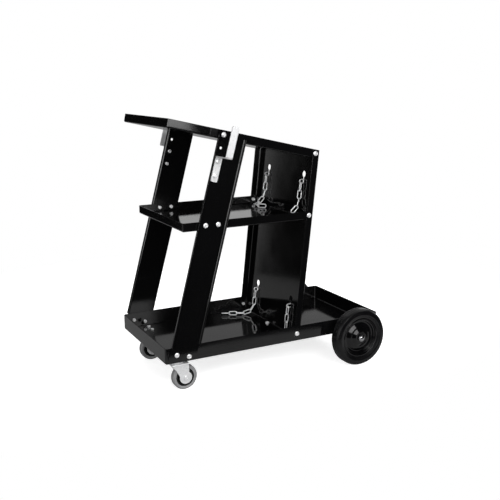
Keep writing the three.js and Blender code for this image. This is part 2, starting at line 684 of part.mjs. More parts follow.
function castorAxle() {
  const under = castor.width / 2 + fork.gap + fork.thick + fit;
  return join([
    rodAlongY(castor.bolt, 0, 0, -under - castorNut.high - castorNut.past, under + fit, 10),
    rodAlongY(castorNut.head, 0, 0, under, under + castorNut.headHigh),
    rodAlongY(castorNut.across, 0, 0, -under - castorNut.high, -under),
  ]);
}

// ---------------------------------------------------------------- chains

// One link about the origin, long way along Z and lying in the YZ plane: a ring drawn out at its middle.
function linkGeometry() {
  const around = 8;
  const ring = new THREE.TorusGeometry(arc, link.wire, 5, around).rotateZ(Math.PI / around);
  const places = ring.attributes.position;
  for (let i = 0; i < places.count; i += 1) {
    places.setY(i, places.getY(i) + (Math.sign(places.getY(i)) * straight) / 2);
  }
  return ring.applyMatrix4(new THREE.Matrix4().makeBasis(Y, Z, X));
}

// A link from one place to the next; face is the direction that it lies flat to.
function linkBetween(from, to, face) {
  const along = new THREE.Vector3().subVectors(to, from).normalize();
  const flat = face.clone().addScaledVector(along, -face.dot(along)).normalize();
  const across = new THREE.Vector3().crossVectors(along, flat);
  const middle = new THREE.Vector3().addVectors(from, to).multiplyScalar(0.5);
  const frame = new THREE.Matrix4().makeBasis(flat, across, along).setPosition(middle);
  return linkGeometry().applyMatrix4(frame);
}

// Links one after the other through a row of places, each a quarter turn from the one before it. The
// first lies flat to the given face, and twist turns each a little further.
function strand(places, face, twist = 0) {
  const flat = face.clone();
  const before = new THREE.Vector3();
  return places.slice(1).map((place, i) => {
    const along = new THREE.Vector3().subVectors(place, places[i]).normalize();
    if (i > 0) flat.applyQuaternion(new THREE.Quaternion().setFromUnitVectors(before, along));
    flat.applyAxisAngle(along, twist + (i > 0 ? Math.PI / 2 : 0));
    before.copy(along);
    return linkBetween(places[i], place, flat);
  });
}

// Places one pitch apart along a curve, stepped off as straight lengths.
function stepOff(curve, count) {
  const places = [curve.getPoint(0)];
  const steps = 4000;
  for (let i = 1; i <= steps && places.length <= count; i += 1) {
    const place = curve.getPoint(i / steps);
    if (place.distanceTo(places.at(-1)) >= pitch) places.push(place);
  }
  return places;
}

// The link that sits in a keyhole's slot, square to the panel.
function slotCentre(keyholeZ, sign) {
  const z = keyholeZ - (keyhole.drop - link.width / 2 - fit) * Math.cos(panel.lean);
  return new THREE.Vector3(panelMiddleX(z), sign * keyhole.spread, z);
}

function slotLink(centre) {
  const half = X.clone().multiplyScalar(pitch / 2);
  return linkBetween(centre.clone().sub(half), centre.clone().add(half), Y);
}

// Where a strand's first link hangs on the slot link: way is -1 in front of the panel and 1 behind it.
function hangPlace(centre, way, direction, gap = fit) {
  const level = Math.sqrt(arc ** 2 - hangOut ** 2);
  const lift = level - Math.sqrt((arc - 2 * link.wire - gap) ** 2 - hangOut ** 2);
  const wire = centre.clone().add(new THREE.Vector3(way * (straight / 2 + hangOut), 0, -level));
  const pastPlace = (link.length - pitch) / 2 - link.wire; // from a link's place to its end's wire
  return wire.addScaledVector(direction, pastPlace - lift);
}

// A strand that hangs straight down the front of the panel.
function tail(keyholeZ, sign, count) {
  const down = new THREE.Vector3(-Math.sin(panel.lean), 0, -Math.cos(panel.lean));
  const start = hangPlace(slotCentre(keyholeZ, sign), -1, down);
  const places = Array.from({ length: count + 1 }, (_, i) => start.clone().addScaledVector(down, i * pitch));
  return join(strand(places, X));
}

// A strand that hangs down the front of the panel and runs on over a floor.
function looseEnd(keyholeZ, sign, floor, route) {
  const centre = slotCentre(keyholeZ, sign);
  const down = new THREE.Vector3(-Math.sin(panel.lean), 0, -Math.cos(panel.lean));
  const start = hangPlace(centre, -1, down, -bite);
  const hanging = [0, 1, hangingPitches].map((n) => start.clone().addScaledVector(down, n * pitch));
  const lying = route.map(([forward, outward, up]) => new THREE.Vector3(
    centre.x - forward * pitch, centre.y + sign * outward * pitch, floor + lyingHigh + up * pitch,
  ));
  const curve = new THREE.CatmullRomCurve3([...hanging, ...lying]);
  const count = Math.floor(curve.getLength() / pitch);
  return join([slotLink(centre), ...strand(stepOff(curve, count), X, lyingRoll / count)]);
}

// The loop between two keyholes of a row, hanging behind the panel as a chain does.
function hangingLoop(keyholeZ, count) {
  const centre = slotCentre(keyholeZ, 1);
  let end = hangPlace(centre, 1, new THREE.Vector3());
  let places = [];
  for (let round = 0; round < 6; round += 1) {
    places = catenary(end.x, end.y, end.z, count);
    const direction = new THREE.Vector3().subVectors(places.at(-2), places.at(-1)).normalize();
    end = hangPlace(centre, 1, direction);
  }
  return join(strand(places, X));
}

// Places along a hanging chain between y = -half and y = half.
function catenary(x, half, z, count) {
  const length = count * pitch;
  let low = 1;
  let high = 4000;
  for (let i = 0; i < 60; i += 1) {
    const a = (low + high) / 2;
    if (2 * a * Math.sinh(half / a) > length) low = a;
    else high = a;
  }
  const a = (low + high) / 2;
  return Array.from({ length: count + 1 }, (_, i) => {
    const run = (i - count / 2) * pitch;
    const y = a * Math.asinh(run / a);
    return new THREE.Vector3(x, y, z - a * (Math.cosh(half / a) - Math.cosh(y / a)));
  });
}

// ---------------------------------------------------------------- assembly

const cart = new THREE.Group();

function piece(name, geometry, material, parent = cart) {
  const mesh = new THREE.Mesh(geometry, material);
  mesh.name = name;
  parent.add(mesh);
  return mesh;
}

piece('base_tray', baseTray(), coat);
piece('middle_shelf', middleShelf(), coat);
piece('top_tray', topTray(), coat);
piece('rear_panel', rearPanel(), coat);

for (const [side, sign] of Object.entries(sides)) {
  piece(`front_leg_${side}`, frontLeg(sign), coat);
  piece(`cable_hook_${side}`, cableHook(sign), zinc);
  for (const { name, x, z, outer, inner } of sideBolts) {
    const mesh = piece(`bolt_${name}_${side}`, boltGeometry(outer - inner), zinc);
    mesh.position.set(x, (sign * (outer + inner)) / 2, z);
    if (sign < 0) mesh.rotation.z = Math.PI;
  }
}
const footBolt = piece('bolt_panel_foot', boltGeometry(2 * sheet + fit), zinc);
footBolt.position.set(footBoltX, 0, base.clear + sheet + fit / 2);
footBolt.rotation.x = Math.PI / 2;

const rearAxle = new THREE.Group();
rearAxle.position.set(wheelX, 0, wheel.radius);
cart.add(rearAxle);
piece('rear_axle', wheelAxle(), zinc, rearAxle);
for (const [side, sign] of Object.entries(sides)) {
  piece(`axle_saddle_${side}`, axleSaddle(sign * saddle.y), coat, rearAxle);
  const hub = new THREE.Group();
  hub.rotation.z = sign < 0 ? Math.PI : 0;
  hub.position.y = sign * wheelMiddle;
  rearAxle.add(hub);
  piece(`rear_rim_${side}`, wheelRim(), blackPlastic, hub);
  piece(`rear_tyre_${side}`, wheelTyre(), blackRubber, hub);
  piece(`axle_cap_${side}`, axleCap(), zinc, hub).position.y = wheel.width / 2;
}

for (const [side, sign] of Object.entries(sides)) {
  const swivel = new THREE.Group();
  swivel.position.set(castorX, sign * castor.y, 0);
  cart.add(swivel);
  piece(`castor_plate_${side}`, castorTop(sign), zinc, swivel);
  piece(`castor_fork_${side}`, castorFork(), zinc, swivel);
  const hub = new THREE.Group();
  hub.position.set(castor.trail, 0, castor.radius);
  hub.rotation.z = sign < 0 ? Math.PI : 0;
  swivel.add(hub);
  piece(`castor_core_${side}`, castorCore(), blackPlastic, hub);
  piece(`castor_tyre_${side}`, castorTyre(), greyRubber, hub);
  piece(`castor_axle_${side}`, castorAxle(), zinc, hub);
}

const { upperKeyhole, lowerKeyhole } = heights;
piece('chain_upper_tail_right', looseEnd(upperKeyhole, 1, shelfFloor, looseEnds.upperRight), zinc);
piece('chain_lower_tail_right', looseEnd(lowerKeyhole, 1, baseFloor, looseEnds.lowerRight), zinc);
piece('chain_upper_tail_left', looseEnd(upperKeyhole, -1, shelfFloor, looseEnds.upperLeft), zinc);
piece('chain_lower_link_left', slotLink(slotCentre(lowerKeyhole, -1)), zinc);
piece('chain_lower_tail_left', tail(lowerKeyhole, -1, tailLinks), zinc);
piece('chain_upper_loop', hangingLoop(upperKeyhole, loopLinks.upper), zinc);
piece('chain_lower_loop', hangingLoop(lowerKeyhole, loopLinks.lower), zinc);

export default cart;
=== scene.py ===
# An empty three-tier welding cart on a plain white studio floor: folded sheet in gloss black powder coat,
# with zinc-plated hooks, bolts, chains and castors, and two large black wheels.
# The scene is in metres, +Z up; -X is the castor end and -Y the left side, nearest to the camera. Pieces are
# drawn in millimetres and scaled when they become meshes.
import json
from math import acos, asin, asinh, atan2, cos, cosh, pi, radians, sin, sinh, sqrt, tan
from types import SimpleNamespace as Sizes

import bmesh
import bpy
from mathutils import Matrix, Quaternion, Vector


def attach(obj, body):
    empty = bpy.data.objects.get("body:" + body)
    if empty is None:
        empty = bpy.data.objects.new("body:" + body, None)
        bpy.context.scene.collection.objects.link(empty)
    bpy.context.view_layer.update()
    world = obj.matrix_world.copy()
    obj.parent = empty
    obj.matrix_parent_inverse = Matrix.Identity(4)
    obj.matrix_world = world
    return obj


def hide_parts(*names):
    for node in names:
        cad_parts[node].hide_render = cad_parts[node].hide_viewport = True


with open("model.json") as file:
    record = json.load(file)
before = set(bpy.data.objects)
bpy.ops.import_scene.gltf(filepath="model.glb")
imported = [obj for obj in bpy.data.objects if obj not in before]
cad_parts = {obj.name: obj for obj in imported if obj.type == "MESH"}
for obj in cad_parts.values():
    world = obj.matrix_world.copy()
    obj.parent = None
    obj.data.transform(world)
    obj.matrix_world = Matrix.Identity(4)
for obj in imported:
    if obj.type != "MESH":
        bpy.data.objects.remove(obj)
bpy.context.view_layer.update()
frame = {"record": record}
record = frame["record"]
BODIES = {node: body for body, members in record["behaviour"]["bodies"].items() for node in members}
SLOTS = {part["node"]: part["material_slot"] for part in record["subparts"]}

MM = 0.001
X, Y, Z = Vector((1, 0, 0)), Vector((0, 1, 0)), Vector((0, 0, 1))
SIDES = {"left": -1, "right": 1}

# ---- driving dimensions, in millimetres

fit = 0.3  # gap left between two pieces that touch
sheet = 2  # wall of the folded sheet
fold = 3  # inside radius of a fold in the sheet
past = 4  # a hole's cutter runs this far past the wall that it cuts

base = Sizes(length=720, spread=5, wall=47, clear=98, corner=7)
tray = Sizes(width=352, wall=25, corner=6)
shelf = Sizes(inset=62.5, bottom=466)
top = Sizes(inset=30, front_z=772.3, tilt=radians(12.63))
leg = Sizes(inset=46, width=85, lean=radians(15.15), lip=10, corner=12, toe=6, row=16.8)
panel = Sizes(inset=285.5, lean=radians(6.33), flange=22, foot=24, foot_width=300, row=14.2)
keyhole = Sizes(radius=9.5, slot=3.1, drop=29, spread=107)
hook = Sizes(width=20, thick=3, reach=60, plate=69, rise=86, bend=3, below=17)
heights = Sizes(top_bolt=724, spare_hole=689, upper_hook_bolt=653, lower_hook_bolt=615, upper_keyhole=592,
                lower_keyhole=209)
foot_pair_rise = 20  # the pair of bolts in a leg's foot, over the underside of the base tray
pair_pitch = 38  # two bolts side by side in a leg
top_bolt_drop = 8.5  # the panel's upper bolts, under the top tray's edge
foot_row = 12  # bolt in the panel's foot, in front of its front face

bolt = Sizes(shank=3, head=5.6, head_low=0.5, head_high=4.4, dish=0.7, flange=7, flange_thick=1.2, nut=5.6,
             nut_high=5.2, end=0.8, room=0.8)
wheel = Sizes(inset=95, radius=89, width=40, gap=11)
tyre = Sizes(bead=5, bulge=12, shoulder=4, crown=9, lip=2, groove=6, groove_wide=2.2, groove_deep=1.4,
             step_in=5, step_wide=0.6, step_top=1.6, step_low=2.6)
rim = Sizes(radius=61.5, hub=16, hub_drop=3, shoulder=8, web=9.6, web_rim=10)
# The rim's outer side, inward from its edge: radius, depth under the face of the tyre, and fillet. A stepped
# wall goes down to a groove, and two flat cones rise from it to the hub.
rim_face = [(57.5, 4, 1.5), (55.5, 9, 1.2), (52.5, 9.6, 0.6), (50.5, 14.5, 1.5), (46.5, 15.5, 1.5),
            (44.5, 15.2, 1.5), (34.5, 9, 2), (29.5, 8.8, 1.5), (19.5, 3, 1.5)]
axle = Sizes(radius=6.3, room=0.35, past=4, ease=0.8)
cap = Sizes(radius=10.5, thick=1.6, dome=3, room=0.65, roll=0.5, tuck=0.3, neck_low=0.1, neck_high=0.8,
            spring=0.9)
saddle = Sizes(thick=3, width=24, ear=15, y=145, bend=2)
castor = Sizes(inset=51, y=135, radius=37.5, width=24, core=27, trail=21, hub=8, bolt=4, pin=4.5)
castor_plate = Sizes(length=60, width=50, thick=2.5, bolts_x=42, bolts_y=32, corner=5)
race = Sizes(slope=3, rise=5, pin_head=8, pin_head_high=3)
castor_nut = Sizes(across=6.5, high=4.5, past=1.5, head=7, head_high=4, dish=0.8, overlap=0.5)
fork = Sizes(thick=2.2, crown=20, eye=18.5, gap=1.6, bend=3, drop=15.5, back=31, cheek=5, knee=(-7.5, 62.5))
fork_eye_start = pi - asin(0.25)  # where the eye's outline leaves the front edge of the fork
tread = Sizes(bead=2, shoulder=4, crown=5, web=6)

link = Sizes(wire=1.6, width=14, length=30, weld=1.14, weld_long=1, weld_end=1.8)
bite = 0.45  # how far neighbouring links of one strand run into each other
hang_out = 1.5  # a strand hangs this far past the straight run of the link in the slot
loop_links = {"upper": 13, "lower": 11}
tail_links = 3
# How the loose ends run on from the link in the slot: forward, outward and up from the floor, in pitches.
loose_ends = {
    "upper_right": [(1, 0, 0.68), (1.66, -0.12, 0.17), (2.58, -0.75, 0.08), (2.33, -1.91, 0.04),
                    (1.08, -2.16, 0)],
    "upper_left": [(1, 0, 0.68), (1.58, -0.08, 0.17), (2.5, -0.25, 0.04)],
    "lower_right": [(0.91, 0.04, 0.54), (1.66, 0.37, 0.08), (3.5, 1.33, 0), (5.5, 2.33, 0)],
}
hanging_pitches = 2  # how far a loose end hangs before it leaves the panel
lying_roll = pi / 4  # a loose end's whole twist, so that neither row of its links stands on edge
lying_share = 0.88  # height of such a link's middle over the floor, as a share of its half width

front_end, rear_end = -base.length / 2, base.length / 2
base_floor = base.clear + sheet
base_mid = base.clear + base.wall / 2
base_rim = base.clear + base.wall
shelf_front = front_end + shelf.inset
shelf_floor = shelf.bottom + sheet
shelf_mid = shelf.bottom + (tray.wall + sheet) / 2
top_front = front_end + top.inset
tray_face = tray.width / 2
base_face = tray_face + base.spread
leg_face = tray_face + fit
leg_web = leg_face + sheet
tray_inside = tray_face - sheet
hook_outer = leg_web + fit + hook.thick
foot_pair = base.clear + foot_pair_rise
bolt_hole = bolt.shank + bolt.room
arc = link.width / 2 - link.wire  # radius of a link's round ends, at the middle of the wire
straight = link.length - link.width
pitch = link.length - 4 * link.wire + bite
lying_high = lying_share * arc + link.wire + fit
castor_x = front_end + castor.inset
wheel_x = rear_end - wheel.inset
wheel_inner = base_face + wheel.gap
wheel_middle = wheel_inner + wheel.width / 2
wheel_outer = wheel_inner + wheel.width
axle_bore = axle.radius + axle.room
castor_plate_top = base.clear - fit
race_low = castor_plate_top - fork.drop
crown_top = race_low - fit


def line_up(foot_x, lean):
    """A line in the side view, as its x at a height: it leans back from foot_x under the base tray."""
    return lambda z: foot_x + (z - base.clear) * tan(lean)


def beside(line_x, shift):
    return lambda z: line_x(z) + shift


def leaning(lean):
    """The directions across and up in a wall that leans back."""
    return Vector((cos(lean), 0, -sin(lean))), Vector((sin(lean), 0, cos(lean)))


leg_axis_x = line_up(front_end + leg.inset, leg.lean)
leg_row_x = beside(leg_axis_x, (leg.row - leg.width / 2) / cos(leg.lean))
panel_rear_x = line_up(rear_end - panel.inset, panel.lean)
panel_middle_x = beside(panel_rear_x, -sheet / 2 / cos(panel.lean))
panel_front_x = beside(panel_rear_x, -sheet / cos(panel.lean))


def meet_top_line(line_x):
    """Where a line up the leg or panel meets the upper edge of the top tray."""
    fall = tan(top.tilt)
    z = (top.front_z + fall * (top_front - line_x(0))) / (1 + fall * (line_x(1) - line_x(0)))
    return line_x(z), z


def side_view(front_x, rear_x, low):
    """The four corners between two leaning lines, from a height to the upper edge of the top tray."""
    return [(front_x(low), low), (rear_x(low), low), meet_top_line(rear_x), meet_top_line(front_x)]


foot_bolt_x = panel_front_x(base_floor) - foot_row
panel_low = base_floor + fit + sheet + fold + fit  # where the panel's side flanges end, over its foot's fold


def flare_at(z):
    """How far a leg stands out at a height: below the middle shelf it flares, to clear the base tray."""
    return base.spread * max((shelf_mid - z) / (shelf_mid - base_rim), 0)


# ---- materials

class Nodes:
    """A node tree under construction: nodes by short names, fed by value or by link."""

    def __init__(self, tree):
        self.tree = tree

    def add(self, kind, **values):
        node = self.tree.nodes.new("ShaderNode" + kind)
        for key, value in values.items():
            if key in node.inputs:
                self.feed(node.inputs[key], value)
            else:
                setattr(node, key, value)
        return node

    def feed(self, socket, value):
        if isinstance(value, bpy.types.NodeSocket):
            self.tree.links.new(value, socket)
        else:
            socket.default_value = value

    def join(self, kind, *values, **settings):
        """A node whose inputs are fed in their order; returns its first output."""
        node = self.add(kind, **settings)
        for socket, value in zip(node.inputs, values):
            self.feed(socket, value)
        return node.outputs[0]

    def span(self, value, low, high, start=0.3, end=0.7, smooth=False):
        """The value, mapped from the range start to end onto the range low to high."""
        numbers = {"Value": value, "From Min": start, "From Max": end, "To Min": low, "To Max": high}
        kind = "SMOOTHSTEP" if smooth else "LINEAR"
        return self.add("MapRange", interpolation_type=kind, **numbers).outputs["Result"]


class Shader(Nodes):
    """A material under construction."""

    def __init__(self, name):
        self.material = bpy.data.materials.new(name)
        self.material.use_nodes = True
        super().__init__(self.material.node_tree)
        self.surface = self.tree.nodes["Principled BSDF"]

    def set(self, **values):
        for key, value in values.items():
            self.feed(self.surface.inputs[key.replace("_", " ")], value)

    def place(self, stretch=(1, 1, 1)):
        spot = self.add("TexCoord").outputs["Object"]
        return self.add("Mapping", Vector=spot, Scale=stretch).outputs["Vector"]

    def noise(self, scale, detail=2.0, stretch=(1, 1, 1)):
        return self.add("TexNoise", Scale=scale, Detail=detail, Vector=self.place(stretch)).outputs["Fac"]

    def blend(self, factor, first, second):
        mix = self.add("Mix", data_type="RGBA", Factor=factor, A=(*first, 1), B=(*second, 1))
        return mix.outputs["Result"]

    def bump(self, height, distance):
        self.set(Normal=self.add("Bump", Distance=distance, Height=height).outputs["Normal"])


def black_coat():
    """Gloss black powder coat: an orange-peel skin, with faint clouds in its sheen."""
    coat = Shader("black_coat")
    coat.set(Base_Color=coat.blend(coat.noise(6, 3), (0.0014, 0.0014, 0.0015), (0.0024, 0.0024, 0.0026)),
             Roughness=coat.span(coat.noise(9, 4), 0.06, 0.12))
    coat.bump(coat.noise(380, 1.5), 0.00003)
    return coat.material


def zinc():
    """Bright zinc plate over steel: a fine crystalline mottle and hairline drawing marks."""
    plate = Shader("zinc")
    mottle = plate.span(plate.noise(140, 4), 0, 1)
    plate.set(Base_Color=plate.blend(mottle, (0.84, 0.84, 0.845), (0.76, 0.765, 0.775)), Metallic=0.58,
              Roughness=plate.span(plate.noise(260, 3), 0.27, 0.35))
    plate.bump(plate.noise(1600, 2, (1, 1, 0.12)), 0.000012)
    return plate.material


def moulded(name, light, dark, low, high, grain=1400, gloss=0.5):
    """Rubber or plastic: two tones, roughness from low to high, and a fine grain in the surface."""
    skin = Shader(name)
    skin.set(Base_Color=skin.blend(skin.span(skin.noise(40, 3), 0, 1), light, dark),
             Roughness=skin.span(skin.noise(70, 3), low, high), Specular_IOR_Level=gloss)
    skin.bump(skin.noise(grain), 0.00008)
    return skin.material


def polished():
    """Zinc over a pressed and polished cap, which mirrors the dark studio with small bright spots."""
    shell = Shader("zinc_polished")
    shell.set(Base_Color=shell.blend(shell.noise(120, 3), (0.5, 0.5, 0.51), (0.38, 0.38, 0.39)),
              Metallic=1.0, Roughness=shell.span(shell.noise(200, 3), 0.08, 0.18))
    shell.bump(shell.noise(500), 0.00005)
    return shell.material


MATERIALS = {
    "black_coat": black_coat(),
    "zinc": zinc(),
    "black_rubber": moulded("black_rubber", (0.0034, 0.0034, 0.0037), (0.0022, 0.0022, 0.0025), 0.17, 0.27,
                            grain=900, gloss=0.28),
    "grey_rubber": moulded("grey_rubber", (0.21, 0.21, 0.21), (0.17, 0.17, 0.175), 0.5, 0.7),
    "black_plastic": moulded("black_plastic", (0.002, 0.002, 0.0022), (0.0012, 0.0012, 0.0014), 0.07, 0.12,
                             grain=300, gloss=0.4),
}
POLISHED = polished()


# ---- forms: points and faces in millimetres

UPRIGHT = Matrix.Rotation(pi / 2, 4, "X")  # turns what is drawn along Y to stand along Z
TILTED = Matrix.Rotation(top.tilt, 4, "Y")  # to the slope of the top tray


def combined(forms):
    points, faces = [], []
    for more_points, more_faces in forms:
        at = len(points)
        points += more_points
        faces += [[at + i for i in face] for face in more_faces]
    return points, faces


def placed(form, matrix):
    return [matrix @ point for point in form[0]], form[1]


def moved(form, x, y, z):
    return placed(form, Matrix.Translation((x, y, z)))


def basis(right, up, along, place=Vector()):
    return Matrix.Translation(place) @ Matrix((right, up, along)).transposed().to_4x4()


def skinned(rings, closed=False, capped=False):
    """A skin over rings of equally many points, where a ring of one point is a pole."""
    points, faces, starts = [], [], []
    for ring in rings:
        starts.append((len(points), len(ring)))
        points += ring
    following = starts[1:] + starts[:1] if closed else starts[1:]
    for (a, m), (b, n) in zip(starts, following):
        count = max(m, n)
        for i in range(count):
            j = (i + 1) % count
            faces.append(list(dict.fromkeys([a + i % m, a + j % m, b + j % n, b + i % n])))
    if capped:
        count = len(rings[0])
        faces.append(list(range(count))[::-1])
        faces.append(list(range(len(points) - count, len(points))))
    return points, faces


def swung(x, y, angle):
    return x * cos(angle) - y * sin(angle), x * sin(angle) + y * cos(angle)


def full_turn(steps):
    return [2 * pi * i / steps for i in range(steps)]


def arc_points(radius, start, sweep, steps, x=0, y=0):
    turns = [start + sweep * k / steps for k in range(steps + 1)]
    return [(x + radius * cos(turn), y + radius * sin(turn)) for turn in turns]


def circle_about_y(radius, y, turns):
    return [Vector((radius * sin(turn), y, radius * cos(turn))) for turn in turns]


def rounded(corners, steps=6):
    """The outline of a closed polygon of (x, y, radius) corners, each rounded by an arc."""
    outline = []
    for i, (x, y, radius) in enumerate(corners):
        corner = Vector((x, y))
        if not radius:
            outline.append(corner)
            continue
        back = (Vector(corners[i - 1][:2]) - corner).normalized()
        ahead = (Vector(corners[(i + 1) % len(corners)][:2]) - corner).normalized()
        half = back.angle(ahead) / 2
        centre = corner + (back + ahead).normalized() * (radius / sin(half))
        start = corner + back * (radius / tan(half)) - centre
        end = corner + ahead * (radius / tan(half)) - centre
        turn = atan2(start.cross(end), start.dot(end))
        outline += [centre + Vector(swung(*start, turn * k / steps)) for k in range(steps + 1)]
    return outline


def rectangle(x, y, radius=0, steps=6):
    return rounded([(-x, -y, radius), (x, -y, radius), (x, y, radius), (-x, y, radius)], steps)


def folded(corners, thick, radius, steps=8, ease=0.4):
    """The section of a strip bent along a line of corners, the middle of its wall, with eased ends."""
    middle = radius + thick / 2
    places = [Vector(corner) for corner in corners]
    headings = [(ahead - place).normalized() for place, ahead in zip(places, places[1:])]
    outer, inner = [], []

    def put(place, normal, rounding=0):
        for side, way in ((outer, 1), (inner, -1)):
            side.append((*(place + normal * (way * thick / 2)), rounding))

    put(places[0], headings[0].orthogonal(), ease)
    for place, arriving, leaving in zip(places[1:], headings, headings[1:]):
        start = arriving.orthogonal()
        turn = atan2(arriving.cross(leaving), arriving.dot(leaving))
        side = 1 if turn > 0 else -1
        centre = place - arriving * (middle * tan(abs(turn) / 2)) + start * (side * middle)
        for k in range(steps + 1):
            normal = Vector(swung(*start, turn * k / steps))
            put(centre - normal * (side * middle), normal)
    put(places[-1], headings[-1].orthogonal(), ease)
    return rounded(outer + inner[::-1], 3)


def extruded(outline, depth, right, up, levels=1):
    """An outline drawn in the plane of two directions, given depth both ways from that plane."""
    along = right.cross(up)
    rings = []
    for level in range(levels + 1):
        lift = along * (depth * (level / levels - 0.5))
        rings.append([right * x + up * y + lift for x, y in outline])
    return skinned(rings, capped=True)


def turned(profile, steps=72, closed=True):
    """A profile of (radius, y) turned about Y, closed on itself or ending on the axis both ways."""
    rings = []
    for radius, y in profile:
        rings.append(circle_about_y(radius, y, full_turn(steps) if radius > 0 else [0]))
    return skinned(rings, closed)


def rod(radius, along, place, start, end):
    """A round bar or a hole's cutter along Y or Z, from start to end on that axis, through a place."""
    form = turned([(0, start), (radius, start), (radius, end), (0, end)], 28, closed=False)
    return moved(placed(form, UPRIGHT) if along is Z else form, *place)


def hexagon(across, low, high, dish=0.0):
    """A hexagon head or nut along Y, chamfered at both ends; across is the radius over its corners. The
    shares are of the radius over its flats."""
    face_share, dish_share, dish_floor_share = 0.94, 0.7, 0.55
    chamfer = tan(radians(28))
    flat = across * cos(pi / 6)
    turns = full_turn(48)
    radii = [flat / cos((turn + pi / 6) % (pi / 3) - pi / 6) for turn in turns]

    def circle(share, y):
        return circle_about_y(share * flat, y, turns)

    def edge(level, way):
        return [Vector((r * sin(turn), level + way * (r - face_share * flat) * chamfer, r * cos(turn)))
                for turn, r in zip(turns, radii)]

    rings = [[Vector((0, low, 0))], circle(face_share, low), edge(low, 1)]
    rings += [edge(high, -1), circle(face_share, high)]
    if dish:
        rings += [circle(dish_share, high), circle(dish_floor_share, high - dish)]
    rings.append([Vector((0, high - dish, 0))])
    return skinned(rings)


def thread(radius, start, end):
    """A bolt's end along Y: threaded with a chamfered tip toward +Y, and plain and dished toward -Y."""
    depth, crest, root = 0.35, 0.2, 0.5
    profile = [(0, start), (radius, start)]
    y = start
    while y + 1 < end:
        profile += [(radius, y + crest), (radius - depth, y + root), (radius, y + 1 - crest)]
        y += 1
    profile += [(radius, end - depth), (radius - 2 * depth, end), (0, end)]
    return turned(profile, 24, closed=False)


# ---- meshes and pieces

def mesh_of(name, form):
    mesh = bpy.data.meshes.new(name)
    mesh.from_pydata([point * MM for point in form[0]], [], form[1])
    shape = bmesh.new()
    shape.from_mesh(mesh)
    bmesh.ops.recalc_face_normals(shape, faces=shape.faces)
    shape.to_mesh(mesh)
    shape.free()
    return mesh


def shown(name, data):
    thing = bpy.data.objects.new(name, data)
    bpy.context.scene.collection.objects.link(thing)
    return thing


def carved(name, form, steps, ease):
    """The form after boolean steps, each (operation, other form), with its sharp edges eased."""
    body = shown(name, mesh_of(name, form))
    tools = []
    for operation, other in steps:
        tool = shown("tool", mesh_of("tool", other))
        tools.append(tool)
        boolean = body.modifiers.new("carve", "BOOLEAN")
        boolean.operation = operation
        boolean.solver = "EXACT"
        boolean.object = tool
    if ease:
        eased = body.modifiers.new("ease", "BEVEL")
        eased.width = ease * MM
        eased.segments = 2
        eased.limit_method = "ANGLE"
        eased.angle_limit = radians(38)
    ready = body.evaluated_get(bpy.context.evaluated_depsgraph_get())
    mesh = bpy.data.meshes.new_from_object(ready)
    for thing in [body, *tools]:
        bpy.data.meshes.remove(thing.data)
    return mesh


def piece(node, mesh, smooth=32, finish=None):
    """A finished piece that stands for a CAD node and rides on the same body."""
    mesh.name = f"{node}_mesh"
    mesh.materials.clear()
    mesh.materials.append(finish or MATERIALS[SLOTS[node]])
    mesh.shade_smooth()
    mesh.set_sharp_from_angle(angle=radians(smooth))
    thing = shown(f"{node}_piece", mesh)
    thing.modifiers.new("even_shade", "WEIGHTED_NORMAL").keep_sharp = True
    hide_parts(node)
    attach(thing, BODIES[node])


def whole_piece(node, form, **how):
    piece(node, mesh_of(node, form), **how)


def carved_piece(node, form, steps, ease=0.35):
    piece(node, carved(node, form, steps, ease))


# ---- bolts

def lay_out_side_bolts():
    """The bolts that cross a side: place, grip from outer to inner, and the parts that they go through."""
    laid = []

    def add(name, x, z, outer, inner, *through):
        laid.append(Sizes(name=name, x=x, z=z, outer=outer, inner=inner, through=through))

    add("top_leg", leg_row_x(heights.top_bolt), heights.top_bolt, leg_web, tray_inside, "leg", "top")
    for name, z in (("hook_upper", heights.upper_hook_bolt), ("hook_lower", heights.lower_hook_bolt)):
        add(name, leg_row_x(z), z, hook_outer, leg_face, "leg", "hook")
    for name, across in (("front", -pair_pitch / 2), ("rear", pair_pitch / 2)):
        x = leg_axis_x(shelf_mid) + across
        add(f"shelf_leg_{name}", x, shelf_mid, leg_web, tray_inside, "leg", "shelf")
        x = leg_axis_x(foot_pair) + across * cos(leg.lean)
        z = foot_pair - across * sin(leg.lean)
        add(f"base_leg_{name}", x, z, leg_web + flare_at(z), base_face - sheet, "leg", "base")
    top_z = meet_top_line(panel_rear_x)[1] - top_bolt_drop
    for carried, z, outer, inner in (("top", top_z, leg_web, tray_inside),
                                     ("shelf", shelf_mid, leg_web, tray_inside),
                                     ("base", base_mid, base_face, leg_face)):
        add(f"panel_{carried}", panel_rear_x(z) - panel.row, z, outer, inner, "panel", carried)
    return laid


side_bolts = lay_out_side_bolts()


def side_hole(sign, x, z, inner, outer):
    return rod(bolt_hole, Y, (x, 0, z), *sorted((sign * (inner - past), sign * (outer + past))))


def bolt_holes(part, signs=(-1, 1)):
    """Cutters for the bolts that pass through a part, on both sides or on one."""
    return [side_hole(sign, one.x, one.z, one.inner, one.outer)
            for sign in signs for one in side_bolts if part in one.through]


def bolt_form(grip, turn):
    """A flanged hexagon bolt with its nut, along Y: its head is at +Y, the middle of its grip at 0."""
    under = grip / 2 + fit
    top_of_flange = under + bolt.flange_thick
    profile = [(0, under, 0), (bolt.flange, under, 0.3), (bolt.flange, under + bolt.flange_thick / 2, 0.3),
               (bolt.head, top_of_flange, 0.4), (0, top_of_flange, 0)]
    parts = [turned(rounded(profile, 3), 40, closed=False),
             hexagon(bolt.head, under + bolt.head_low, under + bolt.head_high, bolt.dish),
             hexagon(bolt.nut, -under - bolt.nut_high, -under),
             rod(bolt.shank, Y, (0, 0, 0), -under, under),
             thread(bolt.shank, -under, -under - bolt.nut_high - bolt.end)]
    return placed(combined(parts), Matrix.Rotation(turn, 4, "Y"))


